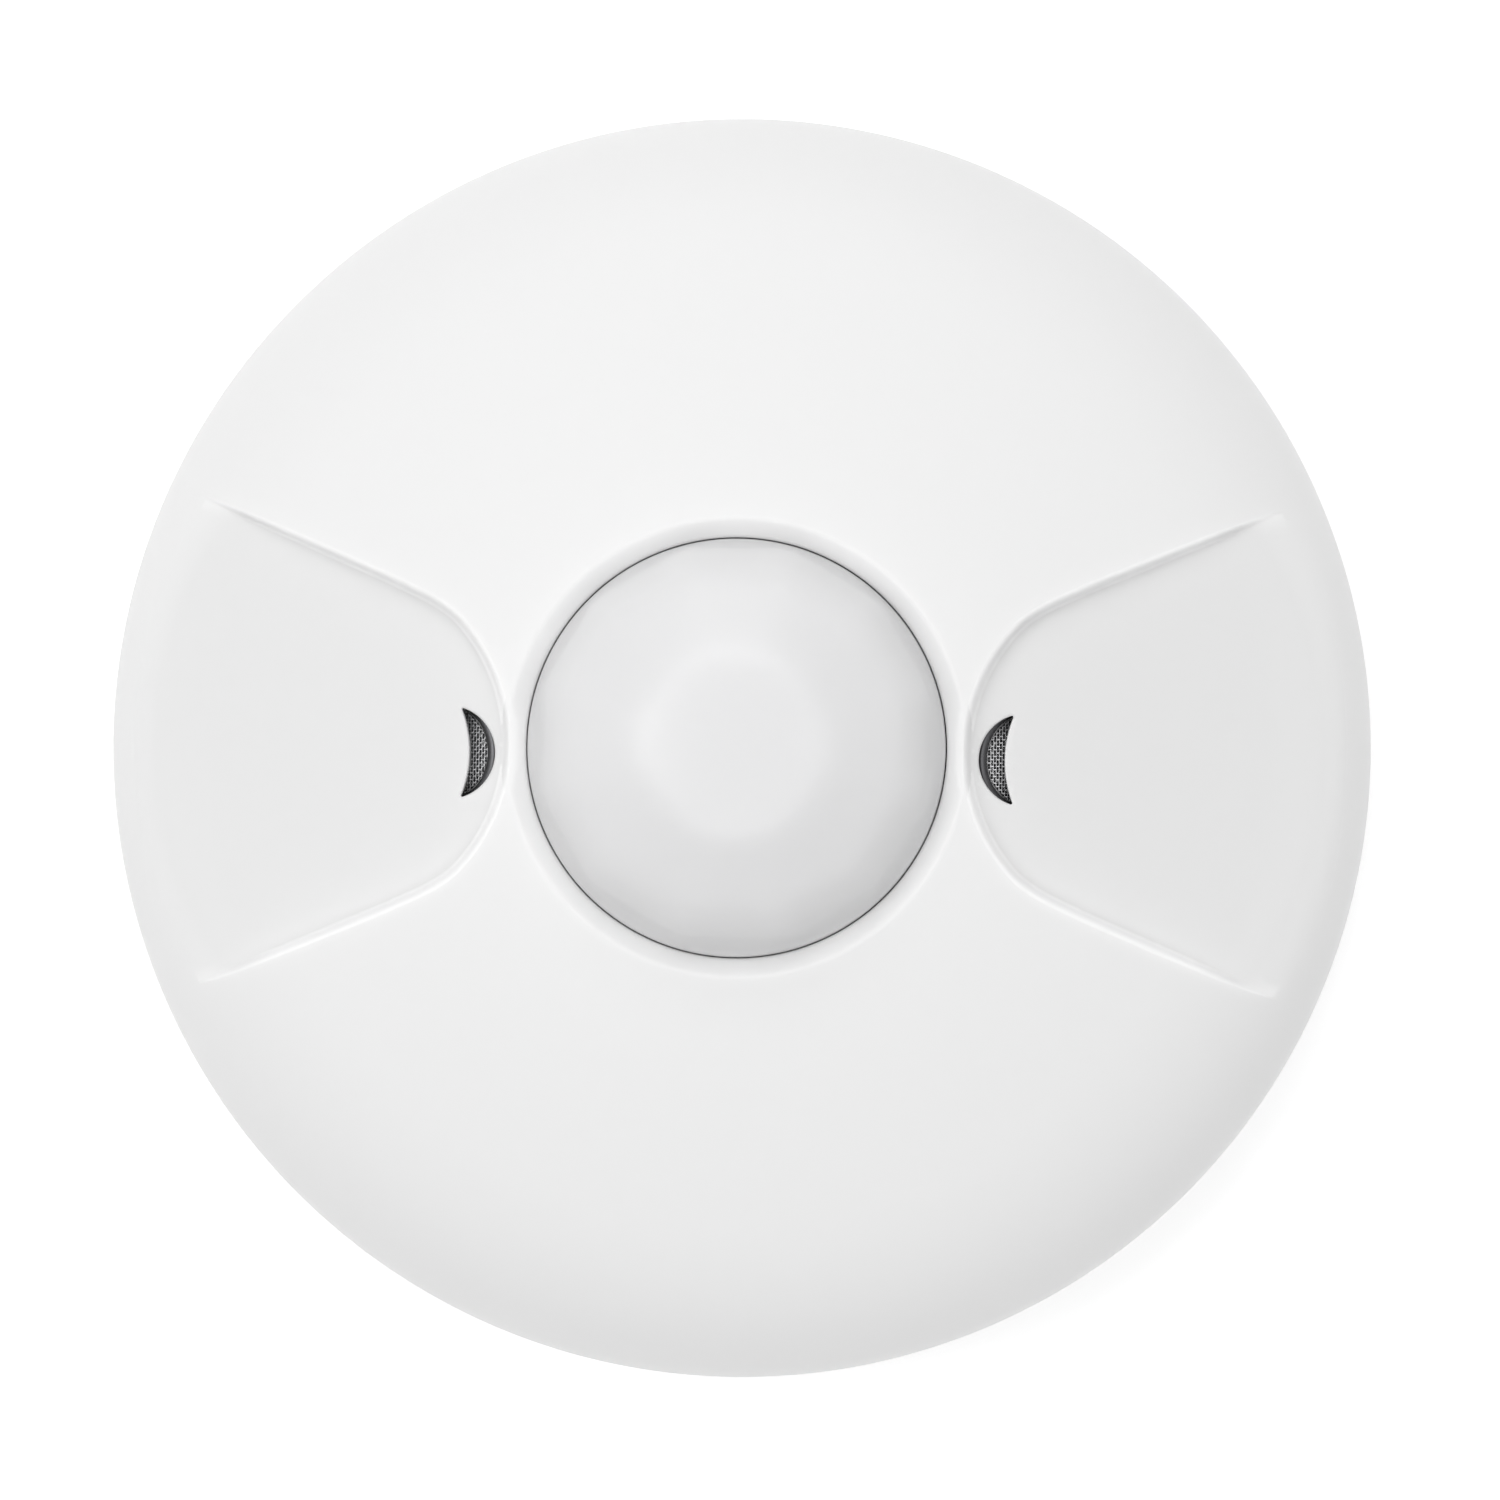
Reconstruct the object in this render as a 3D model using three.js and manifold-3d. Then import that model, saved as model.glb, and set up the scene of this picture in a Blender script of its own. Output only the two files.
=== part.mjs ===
// Ceiling motion sensor: a domed clip-on cover with a faceted lens and two outward-facing ultrasonic
// ports, over a round circuit board in a rear housing that twists onto a mounting plate.
// Millimetres. Z = 0 is the plate's back face, which lies against the ceiling, and +Z points away
// from it. The two ultrasonic ports are on the X axis.
import * as THREE from "three";
import { ConvexGeometry } from "three/addons/geometries/ConvexGeometry.js";
import { mergeVertices } from "three/addons/utils/BufferGeometryUtils.js";
import Module from "manifold-3d";

const wasm = await Module();
wasm.setup();

// ---------------------------------------------------------------- driving dimensions

const COVER_RADIUS = 57.15;
const OVERALL_HEIGHT = 38.1;
const WALL = 2.0;
const REST_GAP = 0.3;

// Cover outline: a skirt, a broad rounded rim and a shallow spherical crown.
const COVER_BOTTOM = 0.8;
const SKIRT_TOP = 10.5;
const SKIRT_DRAFT = 0.2;
const CROWN_RADIUS = 160;
const CROWN_APEX = 28.3;
const RIM_START = 43;
const RIM_STEPS = 6;
const CROWN_STEPS = 3;

// Opening for the lens, in a shallow conical funnel.
const FUNNEL_RADIUS = 20.5;
const OPENING_RADIUS = 18.8;
const FUNNEL_FLOOR = 25.9;
const COLLAR_RADIUS = 21.5;
const COLLAR_UNDERSIDE = 22.9;

// Fan-shaped recess on each side: a flat floor that slopes down outwards between two radial walls,
// closed towards the lens by an arc.
const FAN_ANGLE = THREE.MathUtils.degToRad(25.7);
const FAN_APEX_X = 20.75;
const FAN_ARC_RADIUS = 16.8;
const FAN_FLOOR_Z = 24.8;
const FAN_FLOOR_SLOPE = THREE.MathUtils.degToRad(13.4);
const FAN_DRAFT = 0.2;
const FAN_REACH = 70;

// Crescent port in each recess: a tilted round bore, less a wide round lip on its outer side.
const PORT_TILT = THREE.MathUtils.degToRad(30);
const PORT_INNER_X = 21.7;
const PORT_BORE_RADIUS = 4.18;
const PORT_LIP_X = 23.95;
const PORT_LIP_RADIUS = 10.5;
const PORT_SHIFT_Y = -0.75;

// Ultrasonic transducer behind each port.
const CAN_RADIUS = 4.95;
const CAN_LENGTH = 7.1;
const CAN_BORE = 4.15;
const CAN_DEPTH_BELOW_FLOOR = 2.9;
const CAN_OUTWARD_SHIFT = 1.6;
const BOOT_BOTTOM = -8.3;

// Lens: rings of twelve flat facets, given as corner radius and height. The dome sits a little off the collar.
const LENS_SIDES = 12;
const LENS_SHIFT_Y = 0.45;
const LENS_WALL = 0.9;
const LENS_COLLAR_RADIUS = 18.65;
const LENS_COLLAR_TOP = 25.0;
const LENS_FLANGE_RADIUS = 19.9;
const LENS_FLANGE_BOTTOM = 21.7;
const LENS_FLANGE_TOP = 22.6;
const LENS_FLANGE_FLAT_X = 18.5;
const LENS_RINGS = [
  [18.05, LENS_COLLAR_TOP],
  [18.0, 30.6],
  [15.7, 34.0],
  [8.95, 37.4],
];

// Ring behind the lens, staked to the cover at four ears.
const RING_BOTTOM = 20.6;
const RING_TOP = 21.4;
const RING_INNER_RADIUS = 17.0;
const RING_FLAT_X = 18.0;
const RING_EAR_RADIUS = 2.4;
const STAKE_CIRCLE = 23.2;
const STAKE_RADIUS = 0.9;
const STAKE_HOLE_RADIUS = 1.15;

// Mounting plate with two pairs of screw slots and three bayonet hooks.
const PLATE_RADIUS = 53;
const PLATE_THICKNESS = 2.0;
const WIRE_HOLE_PLATE = 15;
const OCTAGON_BOX_SCREWS = 44.45;
const SINGLE_BOX_SCREWS = 41.65;
const SLOT_WIDTH = 4.6;
const SLOT_HALF_ANGLE = THREE.MathUtils.degToRad(9);
const HOOK_ANGLES = [30, 150, 270].map(THREE.MathUtils.degToRad);
const HOOK_INNER = 28.8;
const HOOK_OUTER = 31.0;
const HOOK_LIP_OUTER = 33.4;
const HOOK_LIP_THICKNESS = 1.6;
const HOOK_HALF_ANGLE = THREE.MathUtils.degToRad(5);
const TWIST_RANGE = THREE.MathUtils.degToRad(20);

// Rear housing and the board that it carries.
const HOUSING_RADIUS = 54.4;
const HOUSING_FLOOR_BOTTOM = 2.4;
const HOUSING_FLOOR_TOP = 4.2;
const HOUSING_TOP = 10.0;
const HOUSING_WALL = 1.6;
const WIRE_HOLE_HOUSING = 12;
const WIRE_LIP_HEIGHT = 1.0;
const HOOK_SLOT_GAP = 0.5;
const KEY_WIDTH = 4;
const KEY_DEPTH = 1.4;
const BOARD_RADIUS = 48;
const BOARD_BOTTOM = 8.8;
const BOARD_TOP = 10.4;
const BOARD_NOTCH_WIDTH = 8;
const BOARD_NOTCH_DEPTH = 2;
const POST_CIRCLE = 41;
const POST_RADIUS = 3.2;
const SCREW_HOLE_RADIUS = 1.6;
const PILOT_RADIUS = 1.3;
const POST_ANGLES = [45, 135, 225, 315].map(THREE.MathUtils.degToRad);

// Where parts stand on the board.
const PART_BASE = BOARD_TOP + 0.2;
const PIR_BASE = 15.2;
const LED_OFFSET = 9;
const LIGHT_SENSOR_Y = 10.5;
const TRIMMER_ROW_Y = -34;
const TRIMMER_PITCH = 10;
const TRIMMER_DIAL_RADIUS = 2.6;
const TRIMMER_DIAL_RISE = 3.9;
const DIP_ROW_Y = 34;
const DIP_BANK_X = 9;
const DIP_PITCH = 2.54;
const LEG_RADIUS = 0.25;

// Smoothness of round shapes.
const FINE = 48;
const MEDIUM = 24;
const COARSE = 14;
const TINY = 8;

// ---------------------------------------------------------------- shape helpers

// A closed geometry as a manifold-3d solid, turned right side out.
function solid(geometry) {
  const bare = geometry.index ? geometry.toNonIndexed() : geometry.clone();
  bare.deleteAttribute("normal");
  bare.deleteAttribute("uv");
  const merged = mergeVertices(bare, 1e-4);
  const corners = merged.index.array;
  const kept = [];
  for (let i = 0; i < corners.length; i += 3) {
    const [a, b, c] = [corners[i], corners[i + 1], corners[i + 2]];
    if (a !== b && b !== c && a !== c) kept.push(a, b, c);
  }
  const positions = merged.attributes.position.array;
  const build = (triangles) =>
    new wasm.Manifold(
      new wasm.Mesh({ numProp: 3, vertProperties: positions, triVerts: new Uint32Array(triangles) }),
    );
  const made = build(kept);
  return made.volume() > 0 ? made : build([...kept].reverse());
}

function geometryOf(shape) {
  const mesh = shape.getMesh();
  const geometry = new THREE.BufferGeometry();
  geometry.setAttribute("position", new THREE.BufferAttribute(new Float32Array(mesh.vertProperties), 3));
  geometry.setIndex(new THREE.BufferAttribute(new Uint32Array(mesh.triVerts), 1));
  const faceted = geometry.toNonIndexed();
  faceted.computeVertexNormals();
  return faceted;
}

const unite = (...shapes) => shapes.reduce((whole, shape) => whole.add(shape));
const carve = (shape, ...cutters) => cutters.reduce((rest, cutter) => rest.subtract(cutter), shape);

// A profile of [radius, height] pairs turned about Z.
function turnedGeometry(profile, segments, start = 0) {
  const points = profile.map(([r, z]) => new THREE.Vector2(r, z));
  return new THREE.LatheGeometry(points, segments, start).rotateX(Math.PI / 2);
}

const turned = (profile, segments, start) => solid(turnedGeometry(profile, segments, start));

function discGeometry(radius, bottom, top, segments) {
  const height = top - bottom;
  return new THREE.CylinderGeometry(radius, radius, height, segments)
    .rotateX(Math.PI / 2)
    .translate(0, 0, bottom + height / 2);
}

function disc(radius, bottom, top, segments, x = 0, y = 0) {
  return solid(discGeometry(radius, bottom, top, segments).translate(x, y, 0));
}

const tube = (inner, outer, bottom, top, segments) =>
  turned(
    [
      [inner, bottom],
      [outer, bottom],
      [outer, top],
      [inner, top],
      [inner, bottom],
    ],
    segments,
  );

function boxGeometry([x0, y0, z0], [x1, y1, z1]) {
  return new THREE.BoxGeometry(x1 - x0, y1 - y0, z1 - z0).translate(
    (x0 + x1) / 2,
    (y0 + y1) / 2,
    (z0 + z1) / 2,
  );
}

const box = (low, high) => solid(boxGeometry(low, high));

// A box of the given size that stands on height z, centred on x and y.
const block = (width, depth, height, x, y, z) =>
  box([x - width / 2, y - depth / 2, z], [x + width / 2, y + depth / 2, z + height]);

function polar(radius, angle) {
  return [radius * Math.cos(angle), radius * Math.sin(angle)];
}

// A flat outline of [x, y] pairs raised from one height to another.
function raised(outline, bottom, top) {
  const shape = new THREE.Shape(outline.map(([x, y]) => new THREE.Vector2(x, y)));
  const geometry = new THREE.ExtrudeGeometry(shape, { depth: top - bottom, bevelEnabled: false });
  return solid(geometry.translate(0, 0, bottom));
}

// Part of a ring between two angles.
function sector(inner, outer, from, to, bottom, top, steps = 6) {
  const angles = Array.from({ length: steps + 1 }, (_, i) => from + ((to - from) * i) / steps);
  const outside = angles.map((angle) => polar(outer, angle));
  const inside = angles.map((angle) => polar(inner, angle)).reverse();
  return raised([...outside, ...inside], bottom, top);
}

// A round-ended slot that follows a circle about the centre.
function arcSlot(circle, centre, halfAngle, width, bottom, top) {
  const [inner, outer] = [circle - width / 2, circle + width / 2];
  const body = sector(inner, outer, centre - halfAngle, centre + halfAngle, bottom, top);
  const ends = [-halfAngle, halfAngle].map((turn) => {
    const [x, y] = polar(circle, centre + turn);
    return disc(width / 2, bottom, top, COARSE, x, y);
  });
  return unite(body, ...ends);
}

// ---------------------------------------------------------------- the finished object

const sensor = new THREE.Group();

const PLASTIC_WHITE = { color: 0xeeeeec, roughness: 0.38, metalness: 0 };
const PLASTIC_INNER = { color: 0xe4e4e0, roughness: 0.5, metalness: 0 };
const LENS_MILKY = { color: 0xe6e7e8, roughness: 0.45, metalness: 0 };
const PLASTIC_BLACK = { color: 0x17181a, roughness: 0.5, metalness: 0 };
const BOARD_GREEN = { color: 0x1d5a38, roughness: 0.45, metalness: 0 };
const STEEL = { color: 0xb9bcc0, roughness: 0.3, metalness: 1 };
const ALUMINIUM = { color: 0xc9ccce, roughness: 0.35, metalness: 1 };
const DARK_ALUMINIUM = { color: 0x55575a, roughness: 0.4, metalness: 1 };
const MESH_GREY = { color: 0x6d6f72, roughness: 0.45, metalness: 1 };
const RUBBER = { color: 0x2a2a2b, roughness: 0.85, metalness: 0 };
const DIAL_COLOURS = [0x1b1b1d, 0xc22f26, 0x2d8f47, 0x2a55a8];

function addPiece(name, shape, look, colour) {
  const material = new THREE.MeshStandardMaterial({ ...look, ...(colour && { color: colour }) });
  const mesh = new THREE.Mesh(geometryOf(shape), material);
  mesh.name = name;
  sensor.add(mesh);
  return mesh;
}

// Same, for a piece made about its own origin and put in place by its mesh's position.
function addPieceAt(name, shape, look, [x, y, z], colour) {
  const mesh = addPiece(name, shape, look, colour);
  mesh.position.set(x, y, z);
  return mesh;
}

// ---------------------------------------------------------------- front cover

const crownHeight = (r) => CROWN_APEX - CROWN_RADIUS + Math.sqrt(CROWN_RADIUS ** 2 - r ** 2);

// Rim from the edge of the crown round to the skirt, both moved inwards by the inset.
function rimCurve(inset) {
  const slope = RIM_START / Math.sqrt(CROWN_RADIUS ** 2 - RIM_START ** 2);
  const start = new THREE.Vector2(RIM_START, crownHeight(RIM_START) - inset);
  const end = new THREE.Vector2(COVER_RADIUS - SKIRT_DRAFT - inset, SKIRT_TOP);
  const shoulder = new THREE.Vector2(start.x + 7.2, start.y - 7.2 * slope);
  const brow = new THREE.Vector2(end.x, end.y + 6.2);
  return new THREE.CubicBezierCurve(start, shoulder, brow, end);
}

// From the skirt's edge up over the rim and along the crown to the given radius.
function coverSkin(inset, bottom, innerRadius) {
  const rim = rimCurve(inset)
    .getPoints(RIM_STEPS)
    .map((p) => [p.x, p.y])
    .reverse();
  const crown = [];
  for (let i = 1; i <= CROWN_STEPS; i++) {
    const r = RIM_START + ((innerRadius - RIM_START) * i) / CROWN_STEPS;
    crown.push([r, crownHeight(r) - inset]);
  }
  return [[0, bottom], [COVER_RADIUS - inset, bottom], ...rim, ...crown];
}

// Outline of a fan recess on the +X side, grown outwards by the given distance.
function fanOutline(grown) {
  const centreX = FAN_APEX_X + FAN_ARC_RADIUS;
  const radius = FAN_ARC_RADIUS + grown;
  // Where the arc meets the straight side, which is a radial line moved sideways.
  const along = centreX * Math.cos(FAN_ANGLE);
  const across = centreX * Math.sin(FAN_ANGLE) + grown;
  const reach = along - Math.sqrt(radius ** 2 - across ** 2);
  const corner = new THREE.Vector2(reach, grown).rotateAround(new THREE.Vector2(), FAN_ANGLE);
  const far = new THREE.Vector2(FAN_REACH, grown).rotateAround(new THREE.Vector2(), FAN_ANGLE);
  const from = Math.atan2(corner.y, corner.x - centreX);
  const steps = 10;
  const arc = Array.from({ length: steps + 1 }, (_, i) => {
    const [x, y] = polar(radius, from + ((2 * Math.PI - 2 * from) * i) / steps);
    return [centreX + x, y];
  });
  return [[far.x, far.y], ...arc, [far.x, -far.y]];
}

// Solid between two outlines of equally many points at two heights.
function loft(lower, bottom, upper, top) {
  const count = lower.length;
  const caps = THREE.ShapeUtils.triangulateShape(lower.map(([x, y]) => new THREE.Vector2(x, y)), []);
  const index = [];
  for (const [a, b, c] of caps) index.push(a, c, b, a + count, b + count, c + count);
  for (let i = 0; i < count; i++) {
    const next = (i + 1) % count;
    index.push(i, next, next + count, i, next + count, i + count);
  }
  const points = [...lower.map(([x, y]) => [x, y, bottom]), ...upper.map(([x, y]) => [x, y, top])];
  const geometry = new THREE.BufferGeometry();
  geometry.setAttribute("position", new THREE.Float32BufferAttribute(points.flat(), 3));
  geometry.setIndex(index);
  return solid(geometry);
}

// Everything above the recess floor, between walls that lean outwards; thickness grows it both ways.
function fanVolume(thickness, side) {
  const bottom = 5;
  const top = 45;
  const walls = loft(
    fanOutline(thickness + (bottom - FAN_FLOOR_Z) * FAN_DRAFT),
    bottom,
    fanOutline(thickness + (top - FAN_FLOOR_Z) * FAN_DRAFT),
    top,
  );
  const below = boxGeometry([-100, -100, -100], [100, 100, 0])
    .rotateY(FAN_FLOOR_SLOPE)
    .translate(FAN_APEX_X, 0, FAN_FLOOR_Z - thickness / Math.cos(FAN_FLOOR_SLOPE));
  return facing(carve(walls, solid(below)), side);
}

// A shape made for the +X side, turned to the -X side where side is -1.
function facing(shape, side) {
  return side > 0 ? shape : solid(geometryOf(shape).rotateZ(Math.PI));
}

// The ports and their transducers sit a little to the -Y side of the recesses' centre line.
const facingPort = (shape, side) => facing(shape, side).translate([0, PORT_SHIFT_Y, 0]);

const fanFloorHeight = (x) => FAN_FLOOR_Z - (x - FAN_APEX_X) * Math.tan(FAN_FLOOR_SLOPE);

// Frame of an axis that leans outwards through the recess floor at x, with its origin at a depth along it.
function tiltedFrame(x, depth) {
  const origin = new THREE.Vector3(x, 0, fanFloorHeight(x));
  origin.addScaledVector(new THREE.Vector3(Math.sin(PORT_TILT), 0, Math.cos(PORT_TILT)), -depth);
  return new THREE.Matrix4().makeRotationY(PORT_TILT).setPosition(origin);
}

// A transducer's frame has its origin at the centre of the face. Its rim shows at the port's inner edge.
const PORT_AXIS_X = PORT_INNER_X + PORT_BORE_RADIUS;
const portFrame = tiltedFrame(PORT_AXIS_X, 0);
const transducerFrame = tiltedFrame(PORT_AXIS_X + CAN_OUTWARD_SHIFT, CAN_DEPTH_BELOW_FLOOR);

function crescentPort(side) {
  const bore = solid(discGeometry(PORT_BORE_RADIUS, -4, 10, MEDIUM).applyMatrix4(portFrame));
  const lip = disc(PORT_LIP_RADIUS, 0, 50, FINE, PORT_LIP_X + PORT_LIP_RADIUS);
  return facingPort(carve(bore, lip), side);
}

// Room round a transducer's can, open downwards so that the cover lifts straight off it.
function canClearance(side) {
  const slack = 0.3;
  const ring = discGeometry(CAN_RADIUS + slack, -CAN_LENGTH, slack, 24).applyMatrix4(transducerFrame);
  const points = [];
  const position = ring.attributes.position;
  for (let i = 0; i < position.count; i++) {
    const p = new THREE.Vector3().fromBufferAttribute(position, i);
    points.push(p, p.clone().setZ(p.z - 14));
  }
  return facingPort(solid(new ConvexGeometry(points)), side);
}

function frontCover() {
  const skin = coverSkin(0, COVER_BOTTOM, FUNNEL_RADIUS);
  const outside = turned([...skin, [OPENING_RADIUS, FUNNEL_FLOOR], [0, FUNNEL_FLOOR]], FINE);
  const lining = coverSkin(WALL, COVER_BOTTOM - 1, COLLAR_RADIUS);
  const hollow = turned([...lining, [COLLAR_RADIUS, COLLAR_UNDERSIDE], [0, COLLAR_UNDERSIDE]], FINE);
  const sides = [1, -1];
  const cavity = carve(hollow, ...sides.map((side) => fanVolume(WALL, side)));
  const shell = carve(
    outside,
    cavity,
    ...sides.map((side) => fanVolume(0, side)),
    ...sides.map(crescentPort),
    ...sides.map(canClearance),
    disc(OPENING_RADIUS, 0, OVERALL_HEIGHT, FINE),
  );
  const stakes = POST_ANGLES.map((angle) => {
    const [x, y] = polar(STAKE_CIRCLE, angle);
    return disc(STAKE_RADIUS, RING_BOTTOM - 0.4, crownHeight(STAKE_CIRCLE) - WALL / 2, 12, x, y);
  });
  const keys = sides.map((side) => {
    const wall = COVER_RADIUS - WALL;
    return block(KEY_WIDTH - 0.8, 1 + KEY_DEPTH, SKIRT_TOP - 3, 0, side * (wall - (KEY_DEPTH - 1) / 2), 3);
  });
  return unite(shell, ...stakes, ...keys);
}

// ---------------------------------------------------------------- lens and its ring

// Everything between two planes across X.
const between = (halfWidth) => box([-halfWidth, -80, -80], [halfWidth, 80, 80]);

function pirLens() {
  const dome = (rings, bottom, top) => {
    const profile = [[0, bottom], [rings[0][0], bottom], ...rings, [0, top]];
    return turned(profile, LENS_SIDES, Math.PI / LENS_SIDES).translate([0, LENS_SHIFT_Y, 0]);
  };
  const outerDome = dome(LENS_RINGS, LENS_FLANGE_BOTTOM, OVERALL_HEIGHT);
  const innerRings = LENS_RINGS.map(([r, z]) => [r - LENS_WALL, z - LENS_WALL * 0.8]);
  const innerDome = dome(innerRings, LENS_FLANGE_BOTTOM - 1, OVERALL_HEIGHT - LENS_WALL);
  const collar = disc(LENS_COLLAR_RADIUS, LENS_FLANGE_BOTTOM, LENS_COLLAR_TOP, FINE);
  const flange = disc(LENS_FLANGE_RADIUS, LENS_FLANGE_BOTTOM, LENS_FLANGE_TOP, FINE);
  return carve(unite(outerDome, collar, flange.intersect(between(LENS_FLANGE_FLAT_X))), innerDome);
}

function retainingRing() {
  const band = tube(RING_INNER_RADIUS, LENS_FLANGE_RADIUS + 0.6, RING_BOTTOM, RING_TOP, MEDIUM);
  const ears = [];
  const holes = [];
  for (const angle of POST_ANGLES) {
    const [x, y] = polar(STAKE_CIRCLE, angle);
    ears.push(disc(RING_EAR_RADIUS, RING_BOTTOM, RING_TOP, COARSE, x, y));
    const [nearX, nearY] = polar(STAKE_CIRCLE - RING_EAR_RADIUS, angle);
    ears.push(disc(RING_EAR_RADIUS, RING_BOTTOM, RING_TOP, COARSE, nearX, nearY));
    holes.push(disc(STAKE_HOLE_RADIUS, 0, OVERALL_HEIGHT, 12, x, y));
  }
  const inside = disc(RING_INNER_RADIUS, 0, OVERALL_HEIGHT, MEDIUM);
  return carve(unite(band.intersect(between(RING_FLAT_X)), ...ears), inside, ...holes);
}

// ---------------------------------------------------------------- mounting plate and rear housing

function mountingPlate() {
  const plate = disc(PLATE_RADIUS, 0, PLATE_THICKNESS, FINE);
  const slots = [0, 1, 2, 3].map((quarter) =>
    arcSlot(
      quarter % 2 ? SINGLE_BOX_SCREWS : OCTAGON_BOX_SCREWS,
      (quarter * Math.PI) / 2,
      SLOT_HALF_ANGLE,
      SLOT_WIDTH,
      -1,
      PLATE_THICKNESS + 1,
    ),
  );
  const hooks = HOOK_ANGLES.flatMap((angle) => {
    const lipBottom = HOUSING_FLOOR_TOP + REST_GAP;
    const lipTop = lipBottom + HOOK_LIP_THICKNESS;
    const from = angle - HOOK_HALF_ANGLE;
    const to = angle + HOOK_HALF_ANGLE;
    return [
      sector(HOOK_INNER, HOOK_OUTER, from, to, PLATE_THICKNESS / 2, lipTop, 3),
      sector(HOOK_INNER, HOOK_LIP_OUTER, from, to, lipBottom, lipTop, 3),
    ];
  });
  return unite(carve(plate, disc(WIRE_HOLE_PLATE, -1, 5, MEDIUM), ...slots), ...hooks);
}

function rearHousing() {
  const wallInside = HOUSING_RADIUS - HOUSING_WALL;
  const lipOutside = WIRE_HOLE_HOUSING + HOUSING_WALL;
  const lipTop = HOUSING_FLOOR_TOP + WIRE_LIP_HEIGHT;
  const cup = turned(
    [
      [WIRE_HOLE_HOUSING, HOUSING_FLOOR_BOTTOM],
      [HOUSING_RADIUS, HOUSING_FLOOR_BOTTOM],
      [HOUSING_RADIUS, HOUSING_TOP],
      [wallInside, HOUSING_TOP],
      [wallInside, HOUSING_FLOOR_TOP],
      [lipOutside, HOUSING_FLOOR_TOP],
      [lipOutside, lipTop],
      [WIRE_HOLE_HOUSING, lipTop],
      [WIRE_HOLE_HOUSING, HOUSING_FLOOR_BOTTOM],
    ],
    FINE,
  );
  const posts = POST_ANGLES.map((angle) => {
    const [x, y] = polar(POST_CIRCLE, angle);
    return disc(POST_RADIUS, HOUSING_FLOOR_TOP - 0.5, BOARD_BOTTOM - REST_GAP, COARSE, x, y);
  });
  const pilots = POST_ANGLES.map((angle) => {
    const [x, y] = polar(POST_CIRCLE, angle);
    return disc(PILOT_RADIUS, HOUSING_FLOOR_TOP, BOARD_BOTTOM, 12, x, y);
  });
  const clear = THREE.MathUtils.degToRad(1.2);
  const hookSlots = HOOK_ANGLES.flatMap((angle) => {
    const from = angle - HOOK_HALF_ANGLE - TWIST_RANGE - clear;
    const to = angle + HOOK_HALF_ANGLE + clear;
    const wideTo = angle + HOOK_HALF_ANGLE - TWIST_RANGE + clear;
    return [
      sector(HOOK_INNER - HOOK_SLOT_GAP, HOOK_OUTER + HOOK_SLOT_GAP, from, to, 0, lipTop, 8),
      sector(HOOK_INNER - HOOK_SLOT_GAP, HOOK_LIP_OUTER + HOOK_SLOT_GAP, from, wideTo, 0, lipTop, 4),
    ];
  });
  const keyways = [1, -1].map((side) =>
    block(KEY_WIDTH, 6, HOUSING_TOP, 0, side * (HOUSING_RADIUS - 0.5), HOUSING_FLOOR_BOTTOM - 1),
  );
  return carve(unite(cup, ...posts), ...pilots, ...hookSlots, ...keyways);
}

// ---------------------------------------------------------------- board and its screws

function mainBoard() {
  const blank = disc(BOARD_RADIUS, BOARD_BOTTOM, BOARD_TOP, FINE);
  const holes = POST_ANGLES.map((angle) => {
    const [x, y] = polar(POST_CIRCLE, angle);
    return disc(SCREW_HOLE_RADIUS, BOARD_BOTTOM - 1, BOARD_TOP + 1, 16, x, y);
  });
  const notches = [1, -1].map((side) =>
    block(BOARD_NOTCH_WIDTH, 2 * BOARD_NOTCH_DEPTH, BOARD_TOP, 0, side * BOARD_RADIUS, BOARD_BOTTOM - 1),
  );
  return carve(blank, ...holes, ...notches);
}

function boardScrew() {
  const head = turned(
    [
      [0, 0],
      [2.7, 0],
      [2.7, 0.9],
      [2.1, 1.6],
      [0, 1.8],
    ],
    COARSE,
  );
  const shank = disc(1.1, -5, 0.1, TINY);
  const [crossLength, crossWidth, crossFloor] = [2.6, 0.6, 0.9];
  const cross = [
    block(crossLength, crossWidth, 2, 0, 0, crossFloor),
    block(crossWidth, crossLength, 2, 0, 0, crossFloor),
  ];
  return carve(unite(head, shank), ...cross);
}

// ---------------------------------------------------------------- transducers

function transducerCan() {
  const cup = turned(
    [
      [0, -CAN_LENGTH],
      [CAN_RADIUS, -CAN_LENGTH],
      [CAN_RADIUS, -0.3],
      [CAN_RADIUS - 0.3, 0],
      [CAN_BORE, 0],
      [CAN_BORE, -5.8],
      [0, -5.8],
    ],
    MEDIUM,
  );
  const pinLength = 4.2;
  const pinOffset = 2.5;
  const pins = [-pinOffset, pinOffset].map((y) =>
    disc(0.35, -CAN_LENGTH - pinLength, -CAN_LENGTH + 0.2, TINY, 0, y),
  );
  return unite(cup, ...pins);
}

const transducerCone = () =>
  turned(
    [
      [0, -5.4],
      [3.5, -5.4],
      [3.5, -4.9],
      [0.9, -4.9],
      [0.9, -3.8],
      [3.1, -1.5],
      [2.8, -1.4],
      [0, -3.4],
    ],
    COARSE,
  );

const transducerMesh = () => disc(CAN_BORE - 0.12, -0.7, -0.35, COARSE);

function transducerBoot() {
  const inner = CAN_RADIUS + 0.1;
  const outer = CAN_RADIUS + 0.8;
  const hole = 3.3;
  const top = -4.5;
  const seat = -CAN_LENGTH - REST_GAP;
  const wall = [
    [hole, BOOT_BOTTOM],
    [outer, BOOT_BOTTOM],
    [outer, top],
    [inner, top],
    [inner, seat],
    [hole, seat],
    [hole, BOOT_BOTTOM],
  ];
  return turned(wall, MEDIUM);
}

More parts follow.
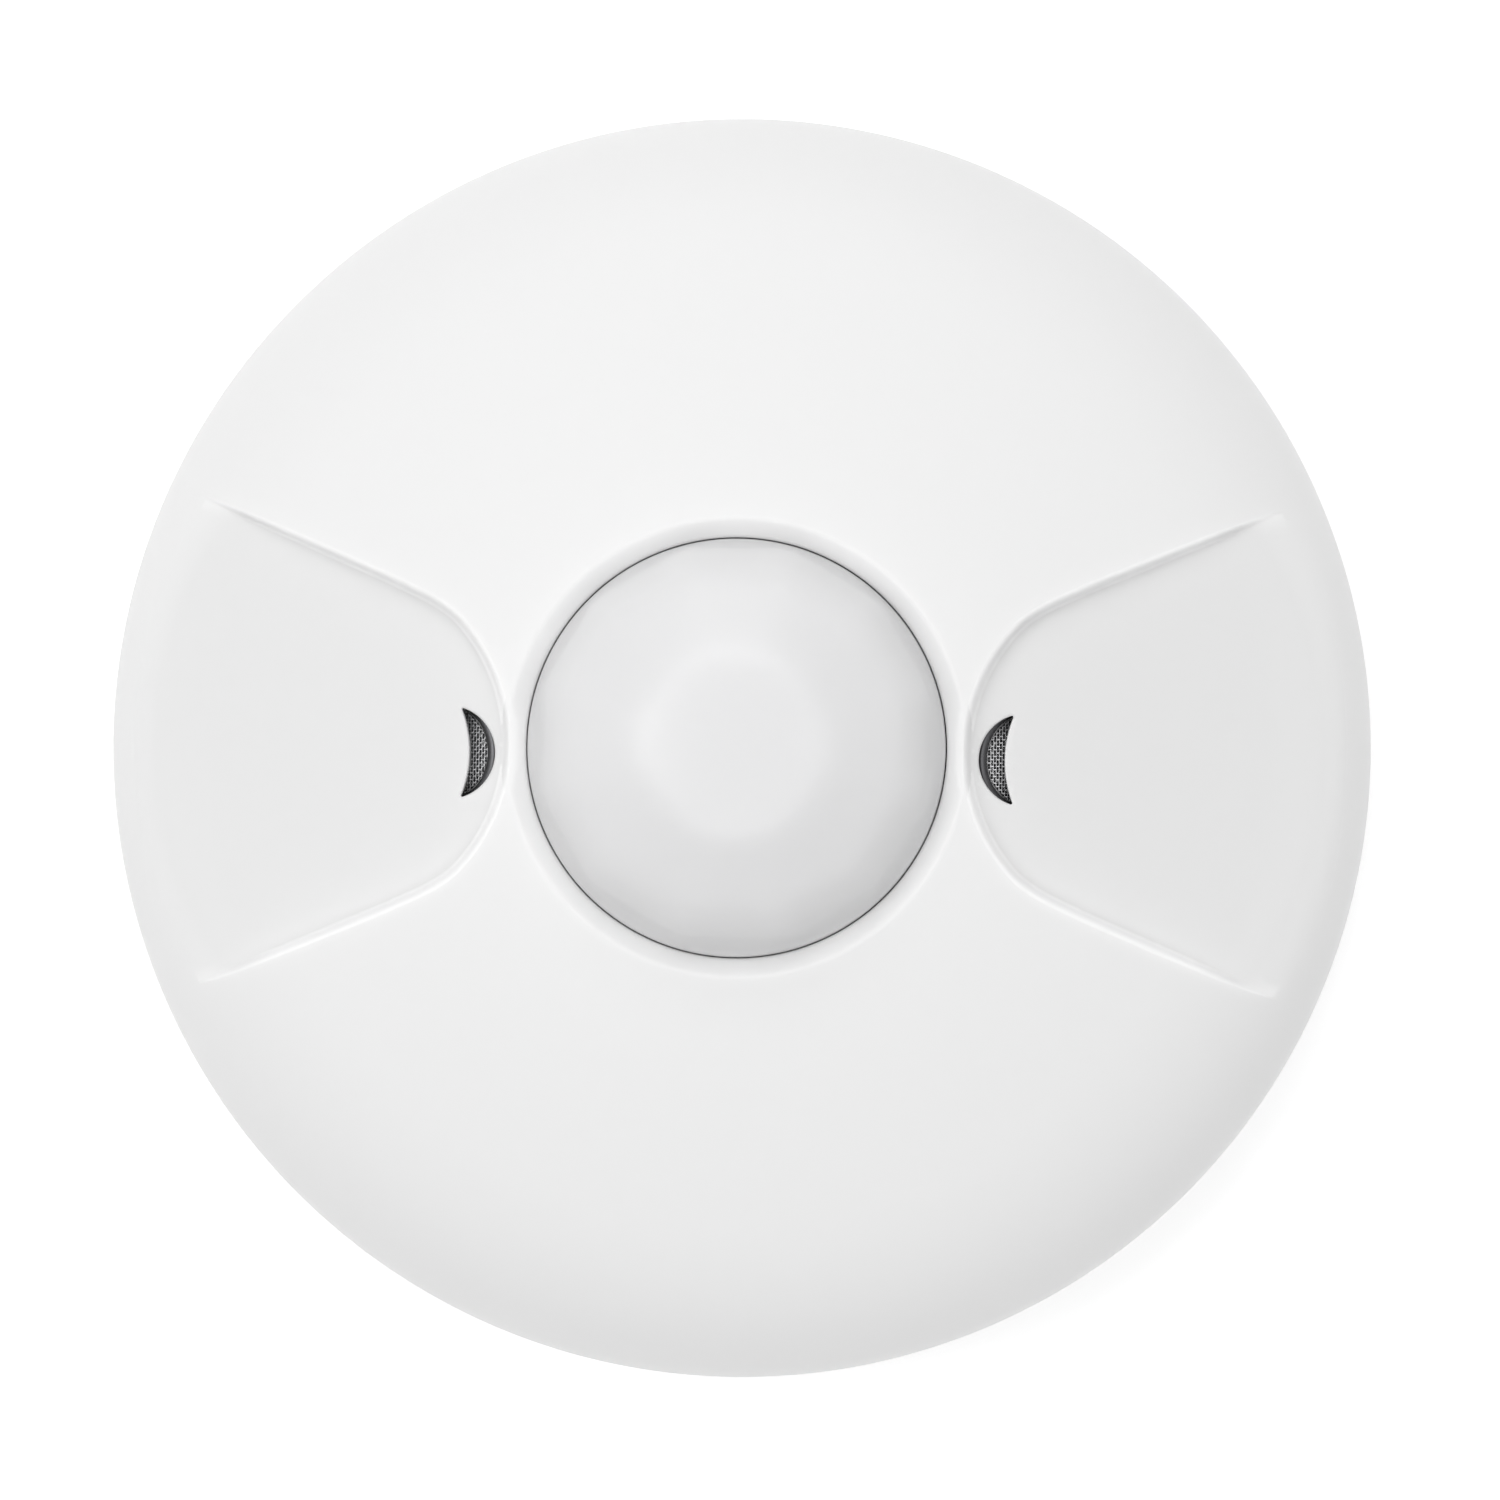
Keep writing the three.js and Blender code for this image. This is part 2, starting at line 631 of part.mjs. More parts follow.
// Wedge on the board under each transducer: two cheeks joined by a low bridge.
function transducerBracket(side) {
  const width = 10.4;
  const centre = 21;
  const wedge = block(width, 12.6, 12, centre, 0, PART_BASE);
  const above = boxGeometry([-30, -30, BOOT_BOTTOM - REST_GAP], [30, 30, 60]).applyMatrix4(transducerFrame);
  const pinSlot = block(width, 6.8, 20, centre - 1.6, 0, 0);
  return facingPort(carve(wedge, solid(above), pinSlot), side);
}

// ---------------------------------------------------------------- parts on the board

function pirCan() {
  const cap = turned(
    [
      [0, 0],
      [4.6, 0],
      [4.6, 0.5],
      [4.15, 0.5],
      [4.15, 4.0],
      [3.85, 4.3],
      [0, 4.3],
    ],
    MEDIUM,
  );
  const pinCircle = 2.54;
  const pins = [0, 1, 2].map((i) => {
    const [x, y] = polar(pinCircle, (i * Math.PI) / 2);
    return disc(LEG_RADIUS, -4.3, 0.1, TINY, x, y);
  });
  const windowSeat = block(4.2, 3.2, 2, 0, 0, 3.7);
  return carve(unite(cap, ...pins), windowSeat);
}

// Two round wire legs a tenth of an inch apart.
const legPair = (length) =>
  [-DIP_PITCH / 2, DIP_PITCH / 2].map((x) => disc(LEG_RADIUS, -length, 0.1, TINY, x, 0));

function led() {
  const radius = 1.5;
  const flange = 1.9;
  const shoulder = 3.8;
  const dome = [0, 1, 2].map((i) => {
    const [r, rise] = polar(radius, (i * Math.PI) / 6);
    return [r, shoulder + rise];
  });
  const bulb = [[0, 0], [flange, 0], [flange, 1], [radius, 1], ...dome, [0, shoulder + radius]];
  return unite(turned(bulb, COARSE), ...legPair(2.2));
}

const photocell = () => unite(disc(2.5, 0, 2, COARSE), ...legPair(3.2));

function trimmerBody() {
  const well = disc(TRIMMER_DIAL_RADIUS + REST_GAP, 3.6, 8, COARSE);
  return carve(block(6.8, 7, 5, 0, 0, 0), well);
}

function trimmerDial() {
  const dial = turned(
    [
      [0, 0],
      [TRIMMER_DIAL_RADIUS, 0],
      [TRIMMER_DIAL_RADIUS, 1.7],
      [TRIMMER_DIAL_RADIUS - 0.3, 2.0],
      [0, 2.0],
    ],
    COARSE,
  );
  const slotFloor = 1.1;
  const slotWidth = 0.7;
  const slot = block(slotWidth, 3.6, 2, 0, 0, slotFloor);
  const arrow = block(2.2, slotWidth, 2, 0.9, 0, slotFloor);
  return carve(dial, slot, arrow);
}

const dipOffsets = [-1.5, -0.5, 0.5, 1.5].map((step) => step * DIP_PITCH);

function dipHousing() {
  const windowFloor = 1.6;
  const windows = dipOffsets.map((x) => block(1.5, 4.0, 4, x, 0, windowFloor));
  return carve(block(11.6, 8, 3.4, 0, 0, 0), ...windows);
}

const dipSlider = () => unite(block(1.1, 2.0, 1.2, 0, 0, 0), block(1.1, 0.9, 1.8, 0, 0, 1.1));

// A chip with rows of legs on two sides or four.
function chip(width, depth, height, legsPerSide, pitch, sides) {
  const parts = [block(width, depth, height, 0, 0, 0.15)];
  const reach = 1.0;
  const overlap = 0.2;
  const legWidth = 0.45;
  const legHeight = 0.4;
  for (let i = 0; i < legsPerSide; i++) {
    const step = (i - (legsPerSide - 1) / 2) * pitch;
    for (const side of [1, -1]) {
      const out = (half) => side * (half + (reach - overlap) / 2);
      parts.push(block(legWidth, reach + overlap, legHeight, step, out(depth / 2), 0));
      if (sides === 4) parts.push(block(reach + overlap, legWidth, legHeight, out(width / 2), step, 0));
    }
  }
  return unite(...parts);
}

const capacitor = () =>
  turned(
    [
      [0, 0],
      [3.15, 0],
      [3.15, 0.7],
      [2.95, 1.0],
      [3.15, 1.3],
      [3.15, 6.9],
      [2.85, 7.2],
      [0, 7.2],
    ],
    COARSE,
  );

function crystal() {
  const half = 3;
  const radius = 2.2;
  const flange = 2.5;
  const flangeTop = 0.5;
  const ends = [-half, half].map((x) => disc(radius, 0.4, 3.6, COARSE, x, 0));
  const feet = [-half, half].map((x) => disc(flange, 0, flangeTop, COARSE, x, 0));
  const middle = block(2 * half, 2 * radius, 3.2, 0, 0, 0.4);
  return unite(middle, block(2 * half, 2 * flange, flangeTop, 0, 0, 0), ...ends, ...feet);
}

function driverCoil() {
  const base = block(9.4, 9.4, 1, 0, 0, 0);
  const core = disc(3.4, 0.9, 6.2, COARSE);
  const flange = disc(4.5, 6.0, 7.2, COARSE);
  const winding = disc(4.2, 1.6, 5.6, COARSE);
  return unite(base, core, flange, winding);
}

function regulator() {
  const pitch = 2.3;
  const legHeight = 0.4;
  const body = block(6.5, 3.5, 1.6, 0, 0, 0.1);
  const tab = block(3, 3, legHeight, 0, 2.2, 0);
  const legs = [-pitch, 0, pitch].map((x) => block(0.8, 2, legHeight, x, -2.5, 0));
  return unite(body, tab, ...legs);
}

function leadHeader() {
  const shell = block(14, 5.8, 5, 0, 0, -5);
  const well = block(12.6, 4.4, 4, 0, 0, -6.2);
  const pinWidth = 0.64;
  const pitch = 2.5;
  const pins = [-2, -1, 0, 1, 2].map((step) => block(pinWidth, pinWidth, 3.4, step * pitch, 0, -5));
  return unite(carve(shell, well), ...pins);
}

// ---------------------------------------------------------------- assembly

addPiece("mounting_plate", mountingPlate(), PLASTIC_INNER);
addPiece("rear_housing", rearHousing(), PLASTIC_INNER);
addPiece("front_cover", frontCover(), PLASTIC_WHITE);
addPiece("pir_lens", pirLens(), LENS_MILKY);
addPiece("lens_retaining_ring", retainingRing(), PLASTIC_INNER);
addPiece("main_board", mainBoard(), BOARD_GREEN);

POST_ANGLES.forEach((angle, i) => {
  const [x, y] = polar(POST_CIRCLE, angle);
  addPieceAt(`board_screw_${i + 1}`, boardScrew(), STEEL, [x, y, BOARD_TOP + 0.15]);
});

// Transmitter on the +X side, receiver on the -X side.
for (const [name, side] of [
  ["transmitter", 1],
  ["receiver", -1],
]) {
  const holder = new THREE.Group();
  holder.rotation.z = side > 0 ? 0 : Math.PI;
  holder.position.y = PORT_SHIFT_Y;
  const tilted = new THREE.Group();
  tilted.applyMatrix4(transducerFrame);
  tilted.add(
    addPiece(`${name}_can`, transducerCan(), DARK_ALUMINIUM),
    addPiece(`${name}_cone`, transducerCone(), ALUMINIUM),
    addPiece(`${name}_mesh`, transducerMesh(), MESH_GREY),
    addPiece(`${name}_boot`, transducerBoot(), RUBBER),
  );
  holder.add(tilted);
  sensor.add(holder);
  addPiece(`${name}_bracket`, transducerBracket(side), PLASTIC_BLACK);
}

addPieceAt("pir_sensor_can", pirCan(), STEEL, [0, 0, PIR_BASE]);
addPieceAt("pir_window", block(3.8, 2.8, 0.4, 0, 0, 0), PLASTIC_BLACK, [0, 0, PIR_BASE + 3.9]);
const spacer = tube(3.1, 5, PART_BASE, PIR_BASE - 0.2, MEDIUM);
addPiece("pir_spacer", spacer, PLASTIC_BLACK);
addPieceAt("led_red", led(), LENS_MILKY, [-LED_OFFSET, -LED_OFFSET, PART_BASE + 2.2], 0xc4281f);
addPieceAt("led_green", led(), LENS_MILKY, [LED_OFFSET, -LED_OFFSET, PART_BASE + 2.2], 0x2c9a45);
addPieceAt("light_sensor", photocell(), LENS_MILKY, [0, LIGHT_SENSOR_Y, PART_BASE + 3.2], 0xc9b489);

["time_delay", "infrared_gain", "ultrasonic_gain", "light_level"].forEach((name, i) => {
  const place = [(i - 1.5) * TRIMMER_PITCH, TRIMMER_ROW_Y, PART_BASE];
  const dial = addPieceAt(`trimmer_dial_${name}`, trimmerDial(), PLASTIC_BLACK, place, DIAL_COLOURS[i]);
  dial.position.z += TRIMMER_DIAL_RISE;
  addPieceAt(`trimmer_body_${name}`, trimmerBody(), PLASTIC_BLACK, place, 0x39464f);
});

[-1, 1].forEach((side, bank) => {
  const x = side * DIP_BANK_X;
  addPieceAt(`dip_housing_${bank + 1}`, dipHousing(), PLASTIC_BLACK, [x, DIP_ROW_Y, PART_BASE], 0xb3261e);
  dipOffsets.forEach((offset, i) => {
    const place = [x + offset, DIP_ROW_Y - 0.9, PART_BASE + 1.8];
    addPieceAt(`dip_slider_${bank * dipOffsets.length + i + 1}`, dipSlider(), PLASTIC_WHITE, place);
  });
});

addPieceAt("microcontroller", chip(9, 9, 1.3, 7, 1.0, 4), PLASTIC_BLACK, [-35, 0, PART_BASE]);
addPieceAt("amplifier_chip", chip(8.7, 3.9, 1.4, 7, 1.27, 2), PLASTIC_BLACK, [0, 20.5, PART_BASE]);
addPieceAt("clock_crystal", crystal(), STEEL, [-35, 13, PART_BASE]);
addPieceAt("driver_coil", driverCoil(), STEEL, [34, -13.5, PART_BASE], 0x8a4a2a);
addPieceAt("voltage_regulator", regulator(), PLASTIC_BLACK, [22, 20, PART_BASE]);
[
  [33.5, 2],
  [33.5, 10.5],
  [-22, 21],
].forEach(([x, y], i) => {
  addPieceAt(`capacitor_${i + 1}`, capacitor(), PLASTIC_BLACK, [x, y, PART_BASE], 0x24314f);
});
addPieceAt("lead_header", leadHeader(), PLASTIC_WHITE, [0, 0, BOARD_BOTTOM - 0.2]);

export default sensor;
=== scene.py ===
import math

import bmesh
import bpy
import numpy as np
from mathutils import Matrix, Vector
from mathutils.geometry import delaunay_2d_cdt, tessellate_polygon
from mathutils.kdtree import KDTree

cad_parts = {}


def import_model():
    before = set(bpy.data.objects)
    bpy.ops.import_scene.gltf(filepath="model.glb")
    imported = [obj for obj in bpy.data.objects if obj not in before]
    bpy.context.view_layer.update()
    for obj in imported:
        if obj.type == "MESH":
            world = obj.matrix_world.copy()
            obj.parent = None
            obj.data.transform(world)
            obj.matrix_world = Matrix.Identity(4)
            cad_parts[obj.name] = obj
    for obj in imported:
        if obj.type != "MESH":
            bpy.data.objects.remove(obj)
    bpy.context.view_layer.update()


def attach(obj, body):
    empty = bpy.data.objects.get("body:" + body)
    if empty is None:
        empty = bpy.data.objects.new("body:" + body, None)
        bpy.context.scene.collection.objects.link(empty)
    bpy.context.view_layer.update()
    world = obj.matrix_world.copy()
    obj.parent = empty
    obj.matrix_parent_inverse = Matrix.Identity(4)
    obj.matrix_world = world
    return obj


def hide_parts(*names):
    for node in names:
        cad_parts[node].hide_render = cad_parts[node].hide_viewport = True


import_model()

# Ceiling motion sensor. Lengths are millimetres and turn into metres where a mesh is made.
# The two ultrasonic ports lie along X. Every shape of the -X side is the +X one turned half round.

MM = 0.001

# ---------------------------------------------------------------- driving dimensions

COVER_RADIUS = 57.15
WALL = 2.0
COVER_BOTTOM = 0.8
SKIRT_TOP = 10.5
SKIRT_DRAFT = 0.2
CROWN_RADIUS = 160
CROWN_APEX = 28.3
RIM_START = 43

FUNNEL_RADIUS = 20.5
OPENING_RADIUS = 18.8
FUNNEL_FLOOR = 25.9
COLLAR_RADIUS = 21.5
COLLAR_UNDERSIDE = 22.9

FAN_ANGLE = math.radians(25.7)
FAN_APEX_X = 20.75
FAN_ARC_RADIUS = 16.8
FAN_FLOOR_Z = 24.8
FAN_FLOOR_SLOPE = math.radians(13.4)
FAN_DRAFT = 0.2
FAN_CREASE_RADIUS = 48

PORT_TILT = math.radians(30)
PORT_INNER_X = 21.7
PORT_BORE_RADIUS = 4.18
PORT_LIP_X = 23.95
PORT_LIP_RADIUS = 10.5
PORT_SHIFT_Y = -0.75
PORT_AXIS_X = PORT_INNER_X + PORT_BORE_RADIUS

CAN_RADIUS = 4.95
CAN_LENGTH = 7.1
CAN_BORE = 4.15
CAN_DEPTH_BELOW_FLOOR = 2.9
CAN_OUTWARD_SHIFT = 1.6
CAN_PIN_OFFSET = 2.5
CAN_PIN_RADIUS = 0.35

LENS_SIDES = 12
LENS_WALL = 0.9
LENS_RINGS = [(18.05, 25.0), (18.0, 30.6), (15.7, 34.0), (8.95, 37.4)]
LENS_SHIFT_Y = 0.45
LENS_APEX = 38.1
LENS_CAP_DROP = 0.15
LENS_CAP_RADIUS = 90.0
LENS_SOFTNESS = 0.3
LENS_COLLAR_RADIUS = 18.74
LENS_FLANGE_RADIUS = 19.9
LENS_FLANGE_FLAT_X = 18.5
LENS_FLANGE_BOTTOM = 21.7
LENS_FLANGE_TOP = 22.6

STAKE_CIRCLE = 23.2
STAKE_RADIUS = 0.9
STAKE_HOLE_RADIUS = 1.15
KEY_WIDTH = 4
KEY_DEPTH = 1.4
RING_BOTTOM = 20.6
RING_TOP = 21.4
RING_INNER_RADIUS = 17.0
RING_FLAT_X = 18.0
RING_EAR_RADIUS = 2.4

REST_GAP = 0.3
PLATE_RADIUS = 53
PLATE_THICKNESS = 2.0
WIRE_HOLE_PLATE = 15
OCTAGON_BOX_SCREWS = 44.45
SINGLE_BOX_SCREWS = 41.65
SLOT_WIDTH = 4.6
SLOT_HALF_ANGLE = math.radians(9)
HOOK_ANGLES = [math.radians(a) for a in (30, 150, 270)]
HOOK_INNER = 28.8
HOOK_OUTER = 31.0
HOOK_LIP_OUTER = 33.4
HOOK_LIP_THICKNESS = 1.6
HOOK_HALF_ANGLE = math.radians(5)
HOOK_SLOT_GAP = 0.5
TWIST_RANGE = math.radians(20)

HOUSING_RADIUS = 54.4
HOUSING_FLOOR_BOTTOM = 2.4
HOUSING_FLOOR_TOP = 4.2
HOUSING_TOP = 10.0
HOUSING_WALL = 1.6
WIRE_HOLE_HOUSING = 12
WIRE_LIP_HEIGHT = 1.0
POST_ANGLES = [math.radians(a) for a in (45, 135, 225, 315)]
POST_CIRCLE = 41
POST_RADIUS = 3.2
PILOT_RADIUS = 1.3

BOARD_RADIUS = 48
BOARD_BOTTOM = 8.8
BOARD_TOP = 10.4
BOARD_NOTCH_WIDTH = 8
BOARD_NOTCH_DEPTH = 2
SCREW_HOLE_RADIUS = 1.6
PART_BASE = BOARD_TOP + 0.2
BOOT_BOTTOM = -8.3
PIR_BASE = 15.2
LED_OFFSET = 9
LIGHT_SENSOR_Y = 10.5
TRIMMER_NAMES = ("time_delay", "infrared_gain", "ultrasonic_gain", "light_level")
TRIMMER_ROW_Y = -34
TRIMMER_PITCH = 10
TRIMMER_DIAL_RADIUS = 2.6
TRIMMER_DIAL_RISE = 3.9
DIP_ROW_Y = 34
DIP_BANK_X = 9
DIP_PITCH = 2.54
MICROCONTROLLER_PLACE = (-35, 0)
AMPLIFIER_PLACE = (0, 20.5)
CRYSTAL_PLACE = (-35, 13)
COIL_PLACE = (34, -13.5)
REGULATOR_PLACE = (22, 20)
CAPACITOR_PLACES = [(33.5, 2), (33.5, 10.5), (-22, 21)]
LEG_SPREAD = 1.27

# ---------------------------------------------------------------- mesh and shading settings

SPOKES = 360
STEEPEST_SHADING = 0.26
# Painted light on the cover: a painted highlight brightens the steep recess walls, fading out over the last
# WALLS_FADE millimetres before WALLS_FADE_END, and brightens the funnel inside FUNNEL_EDGE a little.
WALLS_FADE_END = 49
WALLS_FADE = 4
FUNNEL_EDGE = FUNNEL_RADIUS + 0.6
FUNNEL_PAINTED_HIGHLIGHT = 0.1
# Cover colours along the share of painted light: 0 is painted shade (a darker white) on the recess floors,
# SATIN is the plastic's own satin white, and 1 is a painted highlight (a brighter white) on the recess walls.
SATIN = 0.25
SATIN_WHITE = 0.80
PAINTED_SHADE_WHITE = 0.745
PAINTED_HIGHLIGHT_WHITE = 0.92
GRAIN_DEPTH = 0.02
FLOOR_LEVEL = -0.05

# ---------------------------------------------------------------- small helpers


def blend_min(a, b, width):
    """The smaller of two heights, rounded where they are within width of each other."""
    share = np.clip(0.5 + 0.5 * (b - a) / width, 0, 1)
    return b * (1 - share) + a * share - width * share * (1 - share)


def blend_max(a, b, width):
    return -blend_min(-a, -b, width)


def ring(radius, count=SPOKES):
    angles = np.arange(count) * 2 * math.pi / count
    return np.column_stack([radius * np.cos(angles), radius * np.sin(angles)])


def with_z(flat, z):
    return np.column_stack([flat, np.broadcast_to(z, len(flat))])


class Skin:
    """A closed surface gathered from loops and strips, with a normal for every face corner."""

    def __init__(self):
        self.points = []
        self.faces = []
        self.normals = []

    def add(self, points):
        start = len(self.points)
        self.points.extend(map(tuple, points))
        return np.arange(start, len(self.points))

    def face(self, corners, normals):
        a, b, c = (np.array(self.points[corners[i]]) for i in (0, 1, 2))
        if np.dot(np.cross(b - a, c - a), normals[0] + normals[1] + normals[2]) < 0:
            corners, normals = corners[::-1], normals[::-1]
        self.faces.append([int(i) for i in corners])
        self.normals.extend(normals)

    def strip(self, first, second, first_normals, second_normals):
        """Quads between two closed loops of equally many points."""
        for i in range(len(first)):
            j = (i + 1) % len(first)
            self.face(
                [first[i], first[j], second[j], second[i]],
                [first_normals[i], first_normals[j], second_normals[j], second_normals[i]],
            )

    def lathe(self, start, profile, end):
        """A turned band from loop start, through the profile's (radius, height) rows, to loop end."""
        rows = [start, *(self.add(with_z(ring(r), z)) for r, z in profile[1:-1]), end]
        steps = np.diff(np.array(profile), axis=0)
        across = np.column_stack([-steps[:, 1], steps[:, 0]])
        across /= np.linalg.norm(across, axis=1)[:, None]
        spokes = ring(1)
        for i, own in enumerate(across):
            ends = []
            for other in (across[max(i - 1, 0)], across[min(i + 1, len(across) - 1)]):
                smooth = np.dot(own, other) > 0.7
                n = (own + other) / np.linalg.norm(own + other) if smooth else own
                ends.append(with_z(spokes * n[0], n[1]))
            self.strip(rows[i], rows[i + 1], *ends)

    def mesh(self, name):
        mesh = bpy.data.meshes.new(name)
        mesh.from_pydata([[c * MM for c in p] for p in self.points], [], self.faces)
        mesh.shade_smooth()
        mesh.normals_split_custom_set([tuple(n) for n in self.normals])
        return mesh


def piece(name, mesh, surface, body, node=None):
    """Puts a mesh in the scene as a named piece that moves with a body."""
    obj = bpy.data.objects.new(name, mesh)
    bpy.context.scene.collection.objects.link(obj)
    if not mesh.materials:
        mesh.materials.append(surface)
    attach(obj, body)
    if node:
        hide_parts(node)
    return obj


# ---------------------------------------------------------------- materials


def material(name, colour, roughness, metallic=0.0, **inputs):
    made = bpy.data.materials.new(name)
    made.use_nodes = True
    shader = made.node_tree.nodes["Principled BSDF"]
    shader.inputs["Base Color"].default_value = (*colour, 1)
    shader.inputs["Roughness"].default_value = roughness
    shader.inputs["Metallic"].default_value = metallic
    for key, value in inputs.items():
        shader.inputs[key.replace("_", " ")].default_value = value
    made.diffuse_color = (*colour, 1)
    return made


def add_node(made, kind, **inputs):
    """A new shader node with its inputs set; an underscore stands for a space in an input's name."""
    node = made.node_tree.nodes.new(f"ShaderNode{kind}")
    for key, value in inputs.items():
        node.inputs[key.replace("_", " ")].default_value = value
    return node


def add_texture(made, kind, **inputs):
    """A texture laid out in the object's own coordinates."""
    node = add_node(made, f"Tex{kind}", **inputs)
    place = add_node(made, "TexCoord")
    made.node_tree.links.new(place.outputs["Object"], node.inputs["Vector"])
    return node


def drive(made, output, socket):
    made.node_tree.links.new(output, made.node_tree.nodes["Principled BSDF"].inputs[socket])


def add_grain(made, scale, strength):
    """Fine moulded or cast texture, from noise into a bump."""
    noise = add_texture(made, "Noise", Scale=scale, Detail=3.0)
    bump = add_node(made, "Bump", Strength=strength, Distance=GRAIN_DEPTH * MM)
    made.node_tree.links.new(noise.outputs["Fac"], bump.inputs["Height"])
    drive(made, bump.outputs["Normal"], "Normal")
    return made


def vary_gloss(made, noise, low, high):
    """Roughness between low and high, after a noise."""
    spread = add_node(made, "MapRange", To_Min=low, To_Max=high)
    made.node_tree.links.new(noise.outputs["Fac"], spread.inputs["Value"])
    drive(made, spread.outputs["Result"], "Roughness")
    return made


def soften(made, depth):
    """Lets light spread under the surface over the given depth."""
    shader = made.node_tree.nodes["Principled BSDF"]
    shader.inputs["Subsurface Radius"].default_value = (1, 1, 1)
    shader.inputs["Subsurface Scale"].default_value = depth * MM


def cover_plastic():
    """Satin white, with painted shade (a darker white) on the recess floors and a painted highlight (a
    brighter white) on the steep recess walls, as the mesh marks.
    """
    white = (SATIN_WHITE,) * 3
    made = material("cover_plastic", white, 0.5, Subsurface_Weight=0.7, Specular_IOR_Level=0.4)
    soften(made, 1.4)
    # The mesh's per-point share of painted light picks the colour: painted shade, the plain satin white, or a
    # painted highlight.
    mark = add_node(made, "Attribute")
    mark.attribute_name = "painted_light"
    ramp = add_node(made, "ValToRGB")
    ramp.color_ramp.elements[0].color = (*[PAINTED_SHADE_WHITE] * 3, 1)
    ramp.color_ramp.elements[1].color = (*[PAINTED_HIGHLIGHT_WHITE] * 3, 1)
    satin = ramp.color_ramp.elements.new(SATIN)
    satin.color = (*white, 1)
    made.node_tree.links.new(mark.outputs["Fac"], ramp.inputs["Fac"])
    drive(made, ramp.outputs["Color"], "Base Color")
    add_grain(made, 1500, 0.12)
    return vary_gloss(made, add_texture(made, "Noise", Scale=60), 0.47, 0.54)


def lens_plastic():
    milky = (0.752, 0.752, 0.757)
    made = material("lens_plastic", milky, 0.36, Subsurface_Weight=0.6, Specular_IOR_Level=0.5)
    soften(made, 1.4)
    return add_grain(made, 900, 0.08)


def plain(name, colour, roughness, grain=(700, 0.1), metallic=0.0, **inputs):
    """A material with fine surface texture and slightly uneven gloss."""
    made = material(name, colour, roughness, metallic, **inputs)
    add_grain(made, *grain)
    return vary_gloss(made, add_texture(made, "Noise", Scale=150), roughness - 0.05, roughness + 0.05)


def board_laminate():
    """Green solder mask with lighter copper tracks under it, from a grid of bricks."""
    made = plain("board_laminate", (0.015, 0.11, 0.045), 0.35)
    tracks = add_texture(made, "Brick", Scale=130, Mortar_Size=0.022, Brick_Width=2.6, Row_Height=0.13)
    tracks.inputs["Color1"].default_value = (0.012, 0.10, 0.04, 1)
    tracks.inputs["Color2"].default_value = (0.018, 0.13, 0.055, 1)
    tracks.inputs["Mortar"].default_value = (0.03, 0.20, 0.09, 1)
    drive(made, tracks.outputs["Color"], "Base Color")
    return made


def brushed(name, colour, roughness):
    """Metal with fine drawn streaks along one direction."""
    made = material(name, colour, roughness, 1.0)
    links = made.node_tree.links
    place = add_node(made, "TexCoord")
    stretch = add_node(made, "Mapping", Scale=(2500, 2500, 120))
    noise = add_node(made, "TexNoise")
    links.new(place.outputs["Object"], stretch.inputs["Vector"])
    links.new(stretch.outputs["Vector"], noise.inputs["Vector"])
    return vary_gloss(made, noise, roughness - 0.08, roughness + 0.1)


PLASTICS = {
    "housing_plastic": ((0.72, 0.72, 0.70), 0.45, (900, 0.15)),
    "black_plastic": ((0.02, 0.02, 0.022), 0.45),
    "rubber": ((0.025, 0.025, 0.026), 0.75, (1200, 0.3)),
    "dark_filter": ((0.02, 0.015, 0.025), 0.12, (300, 0.02)),
    "recess_shadow": ((0.05, 0.05, 0.05), 0.6),
    "photocell": ((0.70, 0.56, 0.36), 0.2, (300, 0.03)),
    "trimmer_plastic": ((0.045, 0.085, 0.13), 0.42),
    "dial_black": ((0.016, 0.016, 0.018), 0.4),
    "dial_red": ((0.50, 0.03, 0.02), 0.4),
    "dial_green": ((0.03, 0.30, 0.07), 0.4),
    "dial_blue": ((0.03, 0.09, 0.40), 0.4),
    "switch_red": ((0.42, 0.02, 0.015), 0.4),
    "slider_white": ((0.80, 0.80, 0.78), 0.4),
    "chip_plastic": ((0.018, 0.018, 0.02), 0.55, (1500, 0.3)),
    "ceramic": ((0.52, 0.42, 0.28), 0.4),
    "capacitor_sleeve": ((0.02, 0.03, 0.09), 0.25, (300, 0.03)),
    "copper_winding": ((0.55, 0.20, 0.07), 0.25, (600, 0.05), 0.8),
    "header_nylon": ((0.76, 0.75, 0.70), 0.4),
}
METALS = {
    "plated_steel": ((0.62, 0.62, 0.60), 0.28),
    "aluminium": ((0.72, 0.73, 0.74), 0.32),
    "dark_aluminium": ((0.12, 0.12, 0.125), 0.38),
    "mesh_metal": ((0.66, 0.66, 0.67), 0.40),
    "tin": ((0.66, 0.66, 0.64), 0.30),
}
LED_COLOURS = {"led_red": (0.65, 0.04, 0.025), "led_green": (0.05, 0.50, 0.10)}

MATERIALS = {
    "cover_plastic": cover_plastic(),
    "lens_plastic": lens_plastic(),
    "board_laminate": board_laminate(),
}
MATERIALS.update({name: plain(name, *look) for name, look in PLASTICS.items()})
MATERIALS.update({name: brushed(name, *look) for name, look in METALS.items()})
for name, colour in LED_COLOURS.items():
    MATERIALS[name] = plain(name, colour, 0.12, (300, 0.02), Transmission_Weight=0.5)
DIAL_SLOTS = ("dial_black", "dial_red", "dial_green", "dial_blue")

# ---------------------------------------------------------------- front cover


def crown_height(r):
    return CROWN_APEX - CROWN_RADIUS + np.sqrt(CROWN_RADIUS**2 - np.minimum(r, RIM_START) ** 2)


